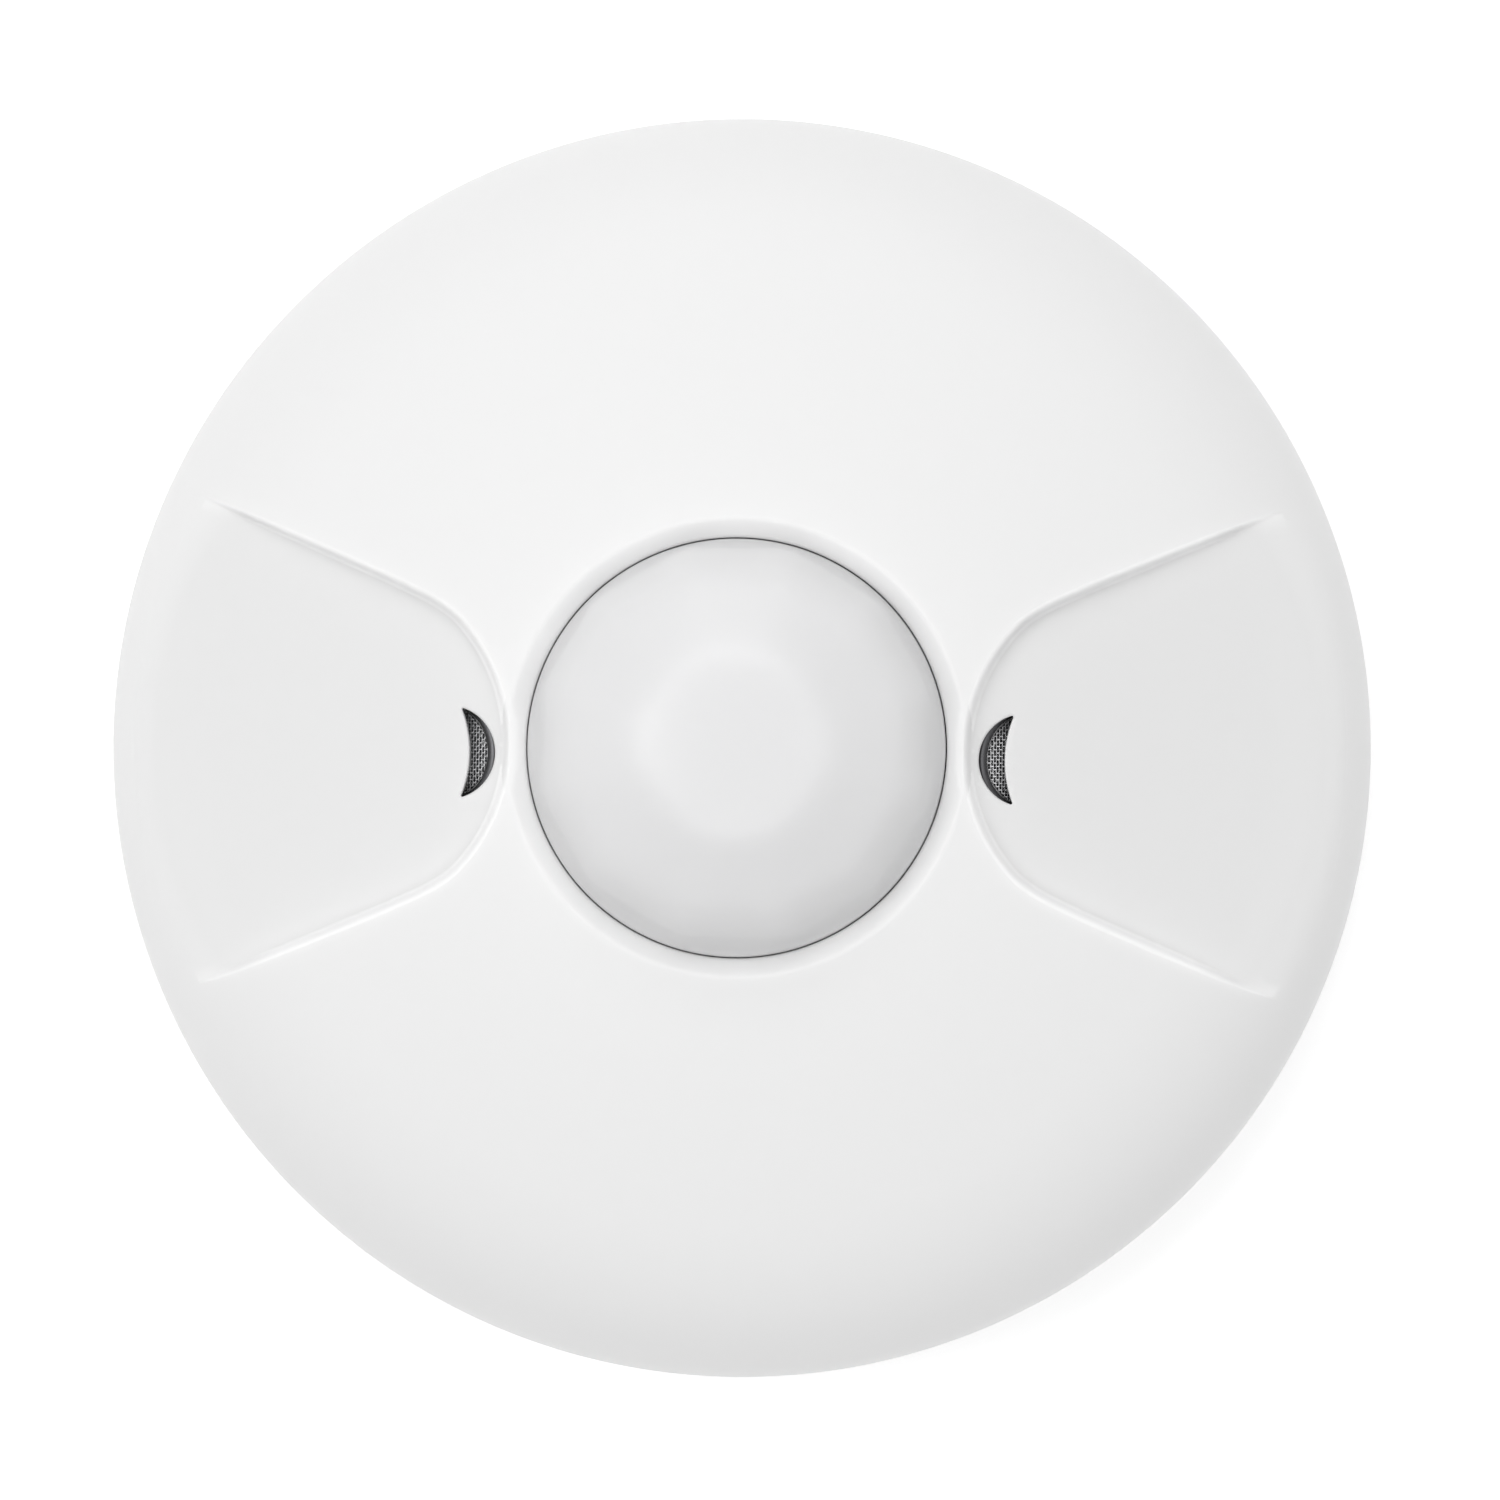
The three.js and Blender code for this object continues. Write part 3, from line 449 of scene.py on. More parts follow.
def rim_curve(inset, count=240):
    """Rows of (radius, height) from the crown's edge round to the skirt, moved inwards by inset."""
    slope = RIM_START / math.sqrt(CROWN_RADIUS**2 - RIM_START**2)
    start = np.array([RIM_START, crown_height(RIM_START) - inset])
    end = np.array([COVER_RADIUS - SKIRT_DRAFT - inset, SKIRT_TOP])
    shoulder = start + [7.2, -7.2 * slope]
    brow = end + [0, 6.2]
    t = np.linspace(0, 1, count)[:, None]
    return (1 - t) ** 3 * start + 3 * (1 - t) ** 2 * t * shoulder + 3 * (1 - t) * t**2 * brow + t**3 * end


def dome_height(r, inset):
    rim = rim_curve(inset)
    return np.where(r < RIM_START, crown_height(r) - inset, np.interp(r, rim[:, 0], rim[:, 1]))


def fan_distance(x, y):
    """How far a point lies outside the outline of the recess on its own side; negative inside."""
    x, y = np.abs(x), np.abs(y)
    centre = FAN_APEX_X + FAN_ARC_RADIUS
    side = y * math.cos(FAN_ANGLE) - x * math.sin(FAN_ANGLE)
    arc = np.hypot(x - centre, y) - FAN_ARC_RADIUS
    near_apex = x * math.cos(FAN_ANGLE) + y * math.sin(FAN_ANGLE) < centre * math.cos(FAN_ANGLE)
    return np.where(near_apex, blend_max(side, arc, 0.9), side)


def fan_floor(x, y):
    """Recess floor: a plane that falls outwards, a little flatter past the crease."""
    past = np.maximum(np.hypot(x, y) - FAN_CREASE_RADIUS, 0)
    return FAN_FLOOR_Z - (np.abs(x) - FAN_APEX_X) * math.tan(FAN_FLOOR_SLOPE) + 0.035 * past


def fan_edges(x, y):
    """Where the recess wall stands at a point: its distance outside the outline, at its foot and top."""
    foot = (fan_floor(x, y) - FAN_FLOOR_Z) * FAN_DRAFT
    top = (dome_height(np.hypot(x, y), 0) - FAN_FLOOR_Z) * FAN_DRAFT
    return foot, top


def outer_height(x, y):
    r = np.hypot(x, y)
    wall = FAN_FLOOR_Z + fan_distance(x, y) / FAN_DRAFT
    recess = blend_max(fan_floor(x, y), wall, 0.8)
    slope = (crown_height(FUNNEL_RADIUS) - FUNNEL_FLOOR) / (FUNNEL_RADIUS - OPENING_RADIUS)
    funnel = FUNNEL_FLOOR + (r - OPENING_RADIUS) * slope
    return blend_min(blend_min(dome_height(r, 0), recess, 1.1), funnel, 0.2)


def inner_height(x, y):
    r = np.hypot(x, y)
    wall = FAN_FLOOR_Z + (fan_distance(x, y) - WALL) / FAN_DRAFT
    floor = fan_floor(x, y) - WALL / math.cos(FAN_FLOOR_SLOPE)
    collar = COLLAR_UNDERSIDE + np.maximum(r - COLLAR_RADIUS, 0) * 4
    return np.minimum(np.minimum(dome_height(r, WALL), np.maximum(floor, wall)), collar)


def beside_wall(x, y):
    """1 at a recess's side wall and outside it, and 0 out on the recess floor."""
    return np.clip((fan_distance(x, y) + 2.1) / 0.4, 0, 1)


def gradient(height, x, y, step=0.01):
    along_x = (height(x + step, y) - height(x - step, y)) / (2 * step)
    along_y = (height(x, y + step) - height(x, y - step)) / (2 * step)
    return along_x, along_y


def surface_normals(height, flat):
    """Shading normals; the steep recess walls are shaded as if they leaned back."""
    x, y = flat[:, 0], flat[:, 1]
    along_x, along_y = gradient(height, x, y)
    steepness = np.hypot(along_x, along_y) + 1e-9
    sunk = dome_height(np.hypot(x, y), 0) - height(x, y) > 0.05
    held = sunk & (beside_wall(x, y) > 0)
    limit = STEEPEST_SHADING + np.clip(fan_distance(x, y) - 1, 0, None)
    hold = np.where(held, np.minimum(1, limit / steepness), 1)
    along_x, along_y = along_x * hold, along_y * hold
    normals = np.column_stack([-along_x, -along_y, np.ones(len(flat))])
    return normals / np.linalg.norm(normals, axis=1)[:, None]


def painted_light(points):
    """Share of painted light: 0, painted shade, on the recess floors; SATIN, the plain white, on the dome; 1,
    a painted highlight, on the steep walls of the recesses, with a little of it on the funnel.
    """
    x, y = points[:, 0], points[:, 1]
    r = np.hypot(x, y)
    in_funnel = r < FUNNEL_EDGE
    along_x, along_y = gradient(outer_height, x, y)
    depth = dome_height(r, 0) - outer_height(x, y)
    # Painted highlight on steep sunk surfaces, faded towards the recesses' outer ends; painted shade on the
    # recess floors.
    steep = np.clip((np.hypot(along_x, along_y) - 0.25) / 0.2, 0, 1) * np.clip(depth / 0.1, 0, 1)
    steep = steep * np.where(in_funnel, FUNNEL_PAINTED_HIGHLIGHT, beside_wall(x, y))
    fade = np.clip((WALLS_FADE_END - r) / WALLS_FADE, 0, 1)
    sunk = np.where(in_funnel, 0, np.clip(depth / 0.8, 0, 1))
    level = SATIN * (1 - sunk * (1 - steep)) + (1 - SATIN) * steep * fade
    on_top = np.abs(points[:, 2] - outer_height(x, y)) < 0.3
    return np.where(on_top, level, SATIN)


def fan_contour(share, reach):
    """A line round the +X recess. Share 0 is the wall's foot, 1 its top edge, and others lie past them."""
    outer_step = 0.55
    corner_setback = 4.1
    centre = FAN_APEX_X + FAN_ARC_RADIUS
    corner_along = centre * math.cos(FAN_ANGLE) - corner_setback
    corner = corner_along * np.array([math.cos(FAN_ANGLE), math.sin(FAN_ANGLE)])
    turn = math.atan2(corner[1], corner[0] - centre)
    arc = centre + FAN_ARC_RADIUS * np.exp(1j * np.linspace(math.pi, turn, 44))
    side = np.linspace(corner_along + 0.45, reach, 54) * np.exp(1j * FAN_ANGLE)
    line = np.concatenate([arc, side])
    half = np.column_stack([line.real, line.imag])
    for _ in range(8):
        x, y = half[:, 0], half[:, 1]
        foot, top = fan_edges(x, y)
        miss = fan_distance(x, y) - (foot + (top - foot) * share if 0 <= share <= 1 else 0)
        if share < 0:
            miss = miss - foot - share * outer_step
        if share > 1:
            miss = miss - top - (share - 1) * outer_step
        half = half - miss[:, None] * np.column_stack(gradient(fan_distance, x, y))
    return np.concatenate([half[:0:-1] * [1, -1], half])


def crescent(depth, grow):
    """Outline of the +X port below the recess floor by depth, grown outwards, with rounded horns."""
    horn = 0.12
    drop = depth / math.cos(FAN_FLOOR_SLOPE)
    lean = drop / (math.cos(PORT_TILT) + math.sin(PORT_TILT) * math.tan(FAN_FLOOR_SLOPE))
    centre = PORT_AXIS_X - lean * math.sin(PORT_TILT)
    wide = PORT_BORE_RADIUS / math.cos(PORT_TILT - FAN_FLOOR_SLOPE) * math.cos(FAN_FLOOR_SLOPE) - horn
    tall = PORT_BORE_RADIUS - horn
    lip_centre = PORT_LIP_X + PORT_LIP_RADIUS
    lip = PORT_LIP_RADIUS + horn
    low, high = 0.0, math.radians(40)
    for _ in range(40):
        middle = (low + high) / 2
        x, y = lip_centre - lip * math.cos(middle), lip * math.sin(middle)
        in_bore = ((x - centre) / wide) ** 2 + (y / tall) ** 2 < 1
        low, high = (middle, high) if in_bore else (low, middle)
    x, y = lip_centre - lip * math.cos(low), lip * math.sin(low)
    end = math.atan2(y / tall, (x - centre) / wide)
    points, outward = [], []
    for a in np.linspace(end, 2 * math.pi - end, 41):
        points.append((centre + wide * math.cos(a), tall * math.sin(a)))
        outward.append(math.atan2(math.sin(a) / tall, math.cos(a) / wide))
    for a in np.linspace(-low, low, 31):
        points.append((lip_centre - lip * math.cos(a), lip * math.sin(a)))
        outward.append(-a)
    # The horns: two short fans of directions from the last point of one arc to the first of the next.
    outward = list(np.unwrap(outward))
    full_points, full_outward = [], []
    for i, (point, angle) in enumerate(zip(points, outward)):
        full_points.append(point)
        full_outward.append(angle)
        if i in (40, 71):
            following = outward[41] if i == 40 else outward[0]
            turn = (following - angle + math.pi) % (2 * math.pi) - math.pi
            for share in (0.25, 0.5, 0.75):
                full_points.append(point)
                full_outward.append(angle + turn * share)
    away = np.column_stack([np.cos(full_outward), np.sin(full_outward)])
    return np.array(full_points) + away * (horn + grow), away


def triangulate(rings, lines, holes, boundary):
    """Triangles over a flat ring-shaped area, with lines kept as edges and holes left open."""
    points = [p for group in (*boundary, *holes, *lines) for p in group]
    edges = []
    start = 0
    for group, closed in [(g, True) for g in (*boundary, *holes)] + [(g, False) for g in lines]:
        count = len(group)
        edges += [(start + i, start + (i + 1) % count) for i in range(count if closed else count - 1)]
        start += count
    tree = KDTree(len(points))
    for i, p in enumerate(points):
        tree.insert((p[0], p[1], 0), i)
    tree.balance()
    for radius, gap in rings:
        row = ring(radius, int(2 * math.pi * radius / gap))
        points += [p for p in row if tree.find((*p, 0))[2] > gap * 0.55]
    made = delaunay_2d_cdt([Vector(p) for p in points], edges, [], 0, 1e-5, True)
    flat = np.array([tuple(v) for v in made[0]])
    where = {old: new for new, group in enumerate(made[3]) for old in group}
    inner = np.linalg.norm(boundary[1][0]) * math.cos(math.pi / len(boundary[1]))
    kept = []
    for face in made[2]:
        middle = flat[list(face)].mean(axis=0)
        if np.linalg.norm(middle) > inner and not any(encloses(hole, middle) for hole in holes):
            kept.append(list(face))
    return flat, kept, where


def encloses(outline, point):
    x, y = point
    if np.abs(outline - point).max(axis=1).min() > 3:
        return False
    following = np.roll(outline, -1, axis=0)
    spans = (outline[:, 1] > y) != (following[:, 1] > y)
    a, b = outline[spans], following[spans]
    crossings = a[:, 0] + (y - a[:, 1]) * (b[:, 0] - a[:, 0]) / (b[:, 1] - a[:, 1])
    return bool((crossings > x).sum() % 2)


def sheet(skin, height, up, rings, lines, holes, outer_radius, inner_radius):
    """Adds a height field to the skin. Returns the index of its outer, inner and hole loops."""
    boundary = [ring(outer_radius), ring(inner_radius)]
    flat, faces, where = triangulate(rings, lines, holes, boundary)
    index = skin.add(np.column_stack([flat, height(flat[:, 0], flat[:, 1])]))
    normals = surface_normals(height, flat) * up
    for face in faces:
        skin.face([index[i] for i in face], [normals[i] for i in face])
    loops, start = [], 0
    for group in (*boundary, *holes):
        loops.append(np.array([index[where[start + i]] for i in range(len(group))]))
        start += len(group)
    return loops


def front_cover():
    skin = Skin()
    fillet = 0.2
    outer_edge, outer_start = 54.6, OPENING_RADIUS + 0.25
    inner_edge, inner_start = 52.6, OPENING_RADIUS + 0.3
    turned = [np.array([1, 1]), np.array([-1, -1])]
    shares = (-1.2, -0.6, -0.25, 0, 0.2, 0.5, 0.8, 1, 1.2, 1.5, 2)
    lines = [fan_contour(share, 53.3) * sign for share in shares for sign in turned]
    top_outline, away = crescent(0, fillet)
    shift = np.array([0, PORT_SHIFT_Y])
    top_holes = [top_outline * sign + shift for sign in turned]
    funnel_rings = [(r, 0.4) for r in (19.4, 19.8, 20.1, 20.3, 20.5, 20.7, 20.95, 21.4)]
    rings = funnel_rings + [(r, 1.0) for r in np.arange(22.2, 47.5, 0.95)]
    rings += [(r, 0.8) for r in np.arange(47.6, 54.2, 0.55)]
    top = sheet(skin, outer_height, 1, rings, lines, top_holes, outer_edge, outer_start)

    inner_outline, _ = crescent(WALL, 0)
    inner_holes = [inner_outline * sign + shift for sign in turned]
    inner_rings = [(r, 0.5) for r in (19.8, 20.6, 21.4, 21.5, 21.9, 22.4)]
    inner_rings += [(r, 1.2) for r in np.arange(23.4, 52.0, 1.2)]
    under = sheet(skin, inner_height, -1, inner_rings, [], inner_holes, inner_edge, inner_start)

    # Port edges: a small rounding, and then the wall down to the underside.
    for hole, sign in enumerate(turned):
        outline = top_holes[hole]
        level = outer_height(outline[:, 0], outline[:, 1])
        up = surface_normals(outer_height, outline)
        inward = with_z(-away * sign, 0)
        loop, normals = top[2 + hole], up
        for turn in np.radians((30, 60, 90)):
            edge = crescent(0, fillet * (1 - math.sin(turn)))[0] * sign + shift
            following = skin.add(with_z(edge, level - fillet * (1 - math.cos(turn))))
            following_normals = up * math.cos(turn) + inward * math.sin(turn)
            skin.strip(loop, following, normals, following_normals)
            loop, normals = following, following_normals
        skin.strip(loop, under[2 + hole], inward, inward)

    # Rim and skirt, from the outer surface round the bottom edge to the inner one.
    rim = rim_curve(0, 60)
    lip = 0.35
    profile = [(outer_edge, float(dome_height(outer_edge, 0)))]
    profile += [tuple(row) for row in rim if row[0] > outer_edge + 0.05]
    for turn in np.radians((0, 30, 60, 90)):
        profile.append((COVER_RADIUS - lip * (1 - math.cos(turn)), COVER_BOTTOM + lip * (1 - math.sin(turn))))
    inner_wall = COVER_RADIUS - WALL
    profile += [(inner_wall + 0.2, COVER_BOTTOM), (inner_wall, COVER_BOTTOM + 0.2)]
    profile += [tuple(row) for row in rim_curve(WALL, 24)[::-1] if row[0] > inner_edge + 0.1]
    profile.append((inner_edge, float(dome_height(inner_edge, WALL))))
    skin.lathe(top[0], profile, under[0])

    # The opening for the lens, from the underside up to the funnel.
    edge_height = float(outer_height(outer_start, 0))
    profile = [
        (inner_start, COLLAR_UNDERSIDE),
        (OPENING_RADIUS, COLLAR_UNDERSIDE),
        (OPENING_RADIUS, edge_height - 0.42),
        (OPENING_RADIUS + 0.05, edge_height - 0.22),
        (OPENING_RADIUS + 0.13, edge_height - 0.1),
        (outer_start, edge_height),
    ]
    skin.lathe(under[1], profile, top[1])
    mesh = skin.mesh("cover_shell")
    # Each point's share of painted light: painted shade on the recess floors, a painted highlight on the
    # recess walls.
    mesh.attributes.new("painted_light", "FLOAT", "POINT").data.foreach_set("value", painted_light(np.array(skin.points)))
    return mesh


piece("cover_shell", front_cover(), MATERIALS["cover_plastic"], "cover", "front_cover")

# ---------------------------------------------------------------- lens


def lens_planes():
    """Outward normals and offsets of the facets' planes, over a shallow cap."""
    flat = math.cos(math.pi / LENS_SIDES)
    normals, offsets = [], []
    for (r0, z0), (r1, z1) in zip(LENS_RINGS, LENS_RINGS[1:]):
        rise, run = z1 - z0, (r0 - r1) * flat
        length = math.hypot(rise, run)
        for side in range(LENS_SIDES):
            angle = side * 2 * math.pi / LENS_SIDES
            normal = (rise / length * math.cos(angle), rise / length * math.sin(angle), run / length)
            normals.append(normal)
            offsets.append(rise / length * r0 * flat + run / length * z0)
    return np.array(normals), np.array(offsets)


def lens_surface(directions):
    """Where rays from the lens's base centre leave the faceted dome, and the normals there."""
    normals, offsets = lens_planes()
    base = np.array([0, 0, LENS_RINGS[0][1]])
    cap_centre = np.array([0, 0, LENS_APEX - LENS_CAP_DROP - LENS_CAP_RADIUS])
    near, far = np.zeros(len(directions)), np.full(len(directions), 30.0)
    for _ in range(40):
        reach = (near + far) / 2
        points = base + directions * reach[:, None]
        from_cap = points - cap_centre
        cap = np.linalg.norm(from_cap, axis=1)
        gaps = np.column_stack([points @ normals.T - offsets, cap - LENS_CAP_RADIUS]) / LENS_SOFTNESS
        most = gaps.max(axis=1)
        outside = most + np.log(np.exp(gaps - most[:, None]).sum(axis=1)) > 0
        near, far = np.where(outside, near, reach), np.where(outside, reach, far)
    weights = np.exp(gaps - most[:, None])
    facing = weights[:, :-1] @ normals + weights[:, -1:] * (from_cap / cap[:, None])
    return points, facing / np.linalg.norm(facing, axis=1)[:, None]


def round_foot(grid, facing):
    """Spreads the foot of the faceted dome out to the round collar, and gives the new normals."""
    foot_top = LENS_RINGS[1][1] + 0.6
    share = np.clip((foot_top - grid[..., 2:]) / (foot_top - FUNNEL_FLOOR), 0, 1) ** 2
    spokes = with_z(ring(LENS_COLLAR_RADIUS - 0.05), 0)
    flat = grid * [1, 1, 0]
    spread = grid + (spokes - flat) * share
    around = np.roll(spread, -1, axis=1) - np.roll(spread, 1, axis=1)
    normals = np.cross(around, np.gradient(spread, axis=0))
    normals /= np.linalg.norm(normals, axis=2)[..., None]
    return spread, np.where(share > 0, normals, facing)


def lens_mesh():
    """A thin faceted dome that stands on a round collar, with a flange that is cut flat at the ports."""
    skin = Skin()
    rows = np.radians(np.concatenate([np.linspace(0, 30, 24), np.linspace(31.5, 87, 38)]))

    def direction(row):
        return with_z(ring(math.cos(row)), math.sin(row))

    pole = np.array([[0, 0, 1.0]])
    shells = []
    for wall, sign in ((0, 1), (LENS_WALL, -1)):
        grid, facing = zip(*(lens_surface(direction(row)) for row in rows))
        grid, facing = round_foot(np.array(grid) + [0, LENS_SHIFT_Y, 0], np.array(facing))
        loops = [(skin.add(points - normals * wall), normals * sign) for points, normals in zip(grid, facing)]
        for (first, first_normals), (second, second_normals) in zip(loops, loops[1:]):
            skin.strip(first, second, first_normals, second_normals)
        top, top_normal = lens_surface(pole)
        tip = skin.add(top - top_normal * wall + [0, LENS_SHIFT_Y, 0])[0]
        last, last_normals = loops[-1]
        for i in range(len(last)):
            j = (i + 1) % len(last)
            skin.face([last[i], last[j], tip], [last_normals[i], last_normals[j], top_normal[0] * sign])
        shells.append(loops[0])

    # Collar and flange: round loops, held inside the flats that face the ports.
    def loop(radius, z):
        spokes = ring(1)
        limit = LENS_FLANGE_FLAT_X / np.maximum(np.abs(spokes[:, 0]), 1e-6)
        return skin.add(with_z(spokes * np.minimum(radius, limit)[:, None], z))

    collar_top = LENS_RINGS[0][1]
    profile = [(LENS_COLLAR_RADIUS, collar_top - 0.25)]
    profile.append((LENS_COLLAR_RADIUS, LENS_FLANGE_TOP))
    profile.append((LENS_FLANGE_RADIUS - 0.15, LENS_FLANGE_TOP))
    profile.append((LENS_FLANGE_RADIUS, LENS_FLANGE_TOP - 0.15))
    profile.append((LENS_FLANGE_RADIUS, LENS_FLANGE_BOTTOM))
    profile.append((LENS_RINGS[0][0] - 2 * LENS_WALL, LENS_FLANGE_BOTTOM))
    rows = [shells[0][0], *(loop(r, z) for r, z in profile), shells[1][0]]
    points = np.array(skin.points)
    spokes = ring(1)
    for first, second in zip(rows, rows[1:]):
        along = points[second] - points[first]
        out = (along[:, :2] * spokes).sum(axis=1)
        facing = np.column_stack([spokes * -along[:, 2:], out]) + 1e-9
        facing = facing / np.linalg.norm(facing, axis=1)[:, None]
        skin.strip(first, second, facing, facing)
    return skin.mesh("lens_dome")


piece("lens_dome", lens_mesh(), MATERIALS["lens_plastic"], "cover", "pir_lens")

# ---------------------------------------------------------------- shapes for the parts inside


def polar(radius, angle):
    return radius * math.cos(angle), radius * math.sin(angle)


def arc(centre, radius, start, end, count):
    """Points along a circular arc, both ends included."""
    steps = np.linspace(start, end, count)
    return [(centre[0] + radius * math.cos(a), centre[1] + radius * math.sin(a)) for a in steps]


def circle(x, y, radius, count=40):
    return arc((x, y), radius, 0, 2 * math.pi * (1 - 1 / count), count)


def sector(inner, outer, start, end, count=12):
    return arc((0, 0), outer, start, end, count) + arc((0, 0), inner, end, start, count)


def arc_slot(radius, middle, half, width):
    """Round-ended slot that follows a circle about the centre."""
    start, end = middle - half, middle + half
    outer = arc((0, 0), radius + width / 2, start, end, 16)
    inner = arc((0, 0), radius - width / 2, end, start, 16)
    first = arc(polar(radius, end), width / 2, end, end + math.pi, 9)[1:-1]
    last = arc(polar(radius, start), width / 2, start + math.pi, start + 2 * math.pi, 9)[1:-1]
    return outer + first + inner + last


def notched_disc(radius, half_width, notch_floor, count=60):
    """Circle with a square notch on +Y and on -Y."""
    edge = math.asin(half_width / radius)
    right = arc((0, 0), radius, -math.pi / 2 + edge, math.pi / 2 - edge, count)
    notch = [(half_width, notch_floor), (-half_width, notch_floor)]
    return right + notch + [(-x, -y) for x, y in right + notch]


def port_seating(x, depth):
    """Axis that leans outwards through the +X recess floor at x, with its origin at a depth along it."""
    axis = Vector((math.sin(PORT_TILT), 0, math.cos(PORT_TILT)))
    origin = Vector((x, 0, float(fan_floor(x, 0)))) - axis * depth
    return Matrix.Translation(origin) @ Matrix.Rotation(PORT_TILT, 4, "Y")


def port_side(side):
    """Carries a shape made for the +X port to the port on the given side."""
    return Matrix.Translation((0, PORT_SHIFT_Y, 0)) @ Matrix.Rotation(0 if side > 0 else math.pi, 4, "Z")


def at(x, y, z=0.0, turn=0.0):
    return Matrix.Translation((x, y, z)) @ Matrix.Rotation(turn, 4, "Z")


class Build:
    """Gathers shapes into one piece. Each shape has a place and a material number."""

    def __init__(self):
        self.bm = bmesh.new()

    def verts(self, points, place):
        return [self.bm.verts.new(place @ Vector(p)) for p in points]

    def face(self, corners, mat):
        made = self.bm.faces.new(corners)
        made.material_index = mat
        made.smooth = True

    def turn(self, profile, place=Matrix(), mat=0, count=40):
        """Turns (radius, height) rows about Z; a profile that ends where it began makes a ring."""
        closed = profile[0] == profile[-1]
        rows = []
        for r, z in profile[: -1 if closed else None]:
            steps = range(count if r else 1)
            points = [(*polar(r, 2 * math.pi * i / count), z) for i in steps]
            rows.append(self.verts(points, place))
        if closed:
            rows.append(rows[0])
        for lower, upper in zip(rows, rows[1:]):
            for i in range(count):
                j = (i + 1) % count
                if len(lower) == 1:
                    self.face((lower[0], upper[j], upper[i]), mat)
                elif len(upper) == 1:
                    self.face((lower[i], lower[j], upper[0]), mat)
                else:
                    self.face((lower[i], lower[j], upper[j], upper[i]), mat)

    def rod(self, radius, bottom, top, place=Matrix(), mat=0, count=16):
        self.turn([(0, bottom), (radius, bottom), (radius, top), (0, top)], place, mat, count)

    def tube(self, inner, outer, bottom, top, place=Matrix(), mat=0, count=64):
        rows = [(inner, bottom), (outer, bottom), (outer, top), (inner, top), (inner, bottom)]
        self.turn(rows, place, mat, count)

    def box(self, width, depth, height, place=Matrix(), mat=0, taper=0.0):
        """A box that stands on its place; taper draws its top in."""
        x, y = width / 2, depth / 2
        corners = [(-x, -y), (x, -y), (x, y), (-x, y)]
        low = self.verts([(*c, 0) for c in corners], place)
        top = self.verts([(cx * (1 - taper / x), cy * (1 - taper / y), height) for cx, cy in corners], place)
        self.face(low[::-1], mat)
        self.face(top, mat)
        for i in range(4):
            j = (i + 1) % 4
            self.face((low[i], low[j], top[j], top[i]), mat)

    def plate(self, outline, bottom, top, holes=(), place=Matrix(), mat=0):
        """A flat shape with holes through it."""
        loops = [[Vector((*p, 0)) for p in loop] for loop in (outline, *holes)]
        flat = [p for loop in loops for p in loop]
        low = self.verts([(p.x, p.y, bottom) for p in flat], place)
        high = self.verts([(p.x, p.y, top) for p in flat], place)
        for a, b, c in tessellate_polygon(loops):
            self.face((high[a], high[b], high[c]), mat)
            self.face((low[c], low[b], low[a]), mat)
        start = 0
        for loop in loops:
            for i in range(len(loop)):
                a, b = start + i, start + (i + 1) % len(loop)
                self.face((low[a], low[b], high[b], high[a]), mat)
            start += len(loop)

    def wire(self, path, radius, place=Matrix(), mat=0, sides=8, closed=False):
        """A round wire along a list of points."""
        points = [Vector(p) for p in path]
        rows = []
        for i, point in enumerate(points):
            before = points[i - 1] if i or closed else point
            after = points[(i + 1) % len(points)] if i + 1 < len(points) or closed else point
            along = (after - before).normalized()
            side = along.cross(Vector((0, 0, 1)) if abs(along.z) < 0.9 else Vector((1, 0, 0))).normalized()
            up = side.cross(along)
            turns = [2 * math.pi * k / sides for k in range(sides)]
            around = [point + radius * (side * math.cos(a) + up * math.sin(a)) for a in turns]
            rows.append(self.verts(around, place))
        pairs = list(zip(rows, rows[1:])) + ([(rows[-1], rows[0])] if closed else [])
        for first, second in pairs:
            for i in range(sides):
                j = (i + 1) % sides
                self.face((first[i], first[j], second[j], second[i]), mat)
        if not closed:
            self.face(rows[0][::-1], mat)
            self.face(rows[-1], mat)

    def piece(self, name, materials, body, node=None, slot=None, edge=0.12, segments=2):
        bmesh.ops.recalc_face_normals(self.bm, faces=self.bm.faces)
        bmesh.ops.scale(self.bm, vec=(MM, MM, MM), verts=self.bm.verts)
        mesh = bpy.data.meshes.new(name)
        self.bm.to_mesh(mesh)
        self.bm.free()
        for made in materials:
            mesh.materials.append(MATERIALS[made])
        mesh.set_sharp_from_angle(angle=math.radians(35))
        obj = piece(name, mesh, None, body, node)
        if edge:
            bevel = obj.modifiers.new("edges", "BEVEL")
            bevel.width = edge * MM
            bevel.segments = segments
            bevel.limit_method = "ANGLE"
            bevel.angle_limit = math.radians(35)
            bevel.harden_normals = True
        return obj


# ---------------------------------------------------------------- inside of the cover


def cover_fittings():
    """Stakes that hold the lens ring, with their melted heads, and the keys that line the cover up."""
    build = Build()
    top = float(crown_height(STAKE_CIRCLE)) - WALL / 2
    head = [(0, -0.42), (0.8, -0.4), (1.3, -0.25), (1.45, -0.02), (0, 0)]
    for angle in POST_ANGLES:
        place = at(*polar(STAKE_CIRCLE, angle))
        build.rod(STAKE_RADIUS, RING_BOTTOM - 0.1, top, place, count=24)
        build.turn(head, place @ at(0, 0, RING_BOTTOM), count=24)
    for side in (1, -1):
        middle = side * (COVER_RADIUS - WALL - (KEY_DEPTH - 1) / 2)
        build.box(KEY_WIDTH - 0.8, 1 + KEY_DEPTH, SKIRT_TOP - 3, at(0, middle, 3))
    build.piece("cover_fittings", ["cover_plastic"], "cover", edge=0.1)


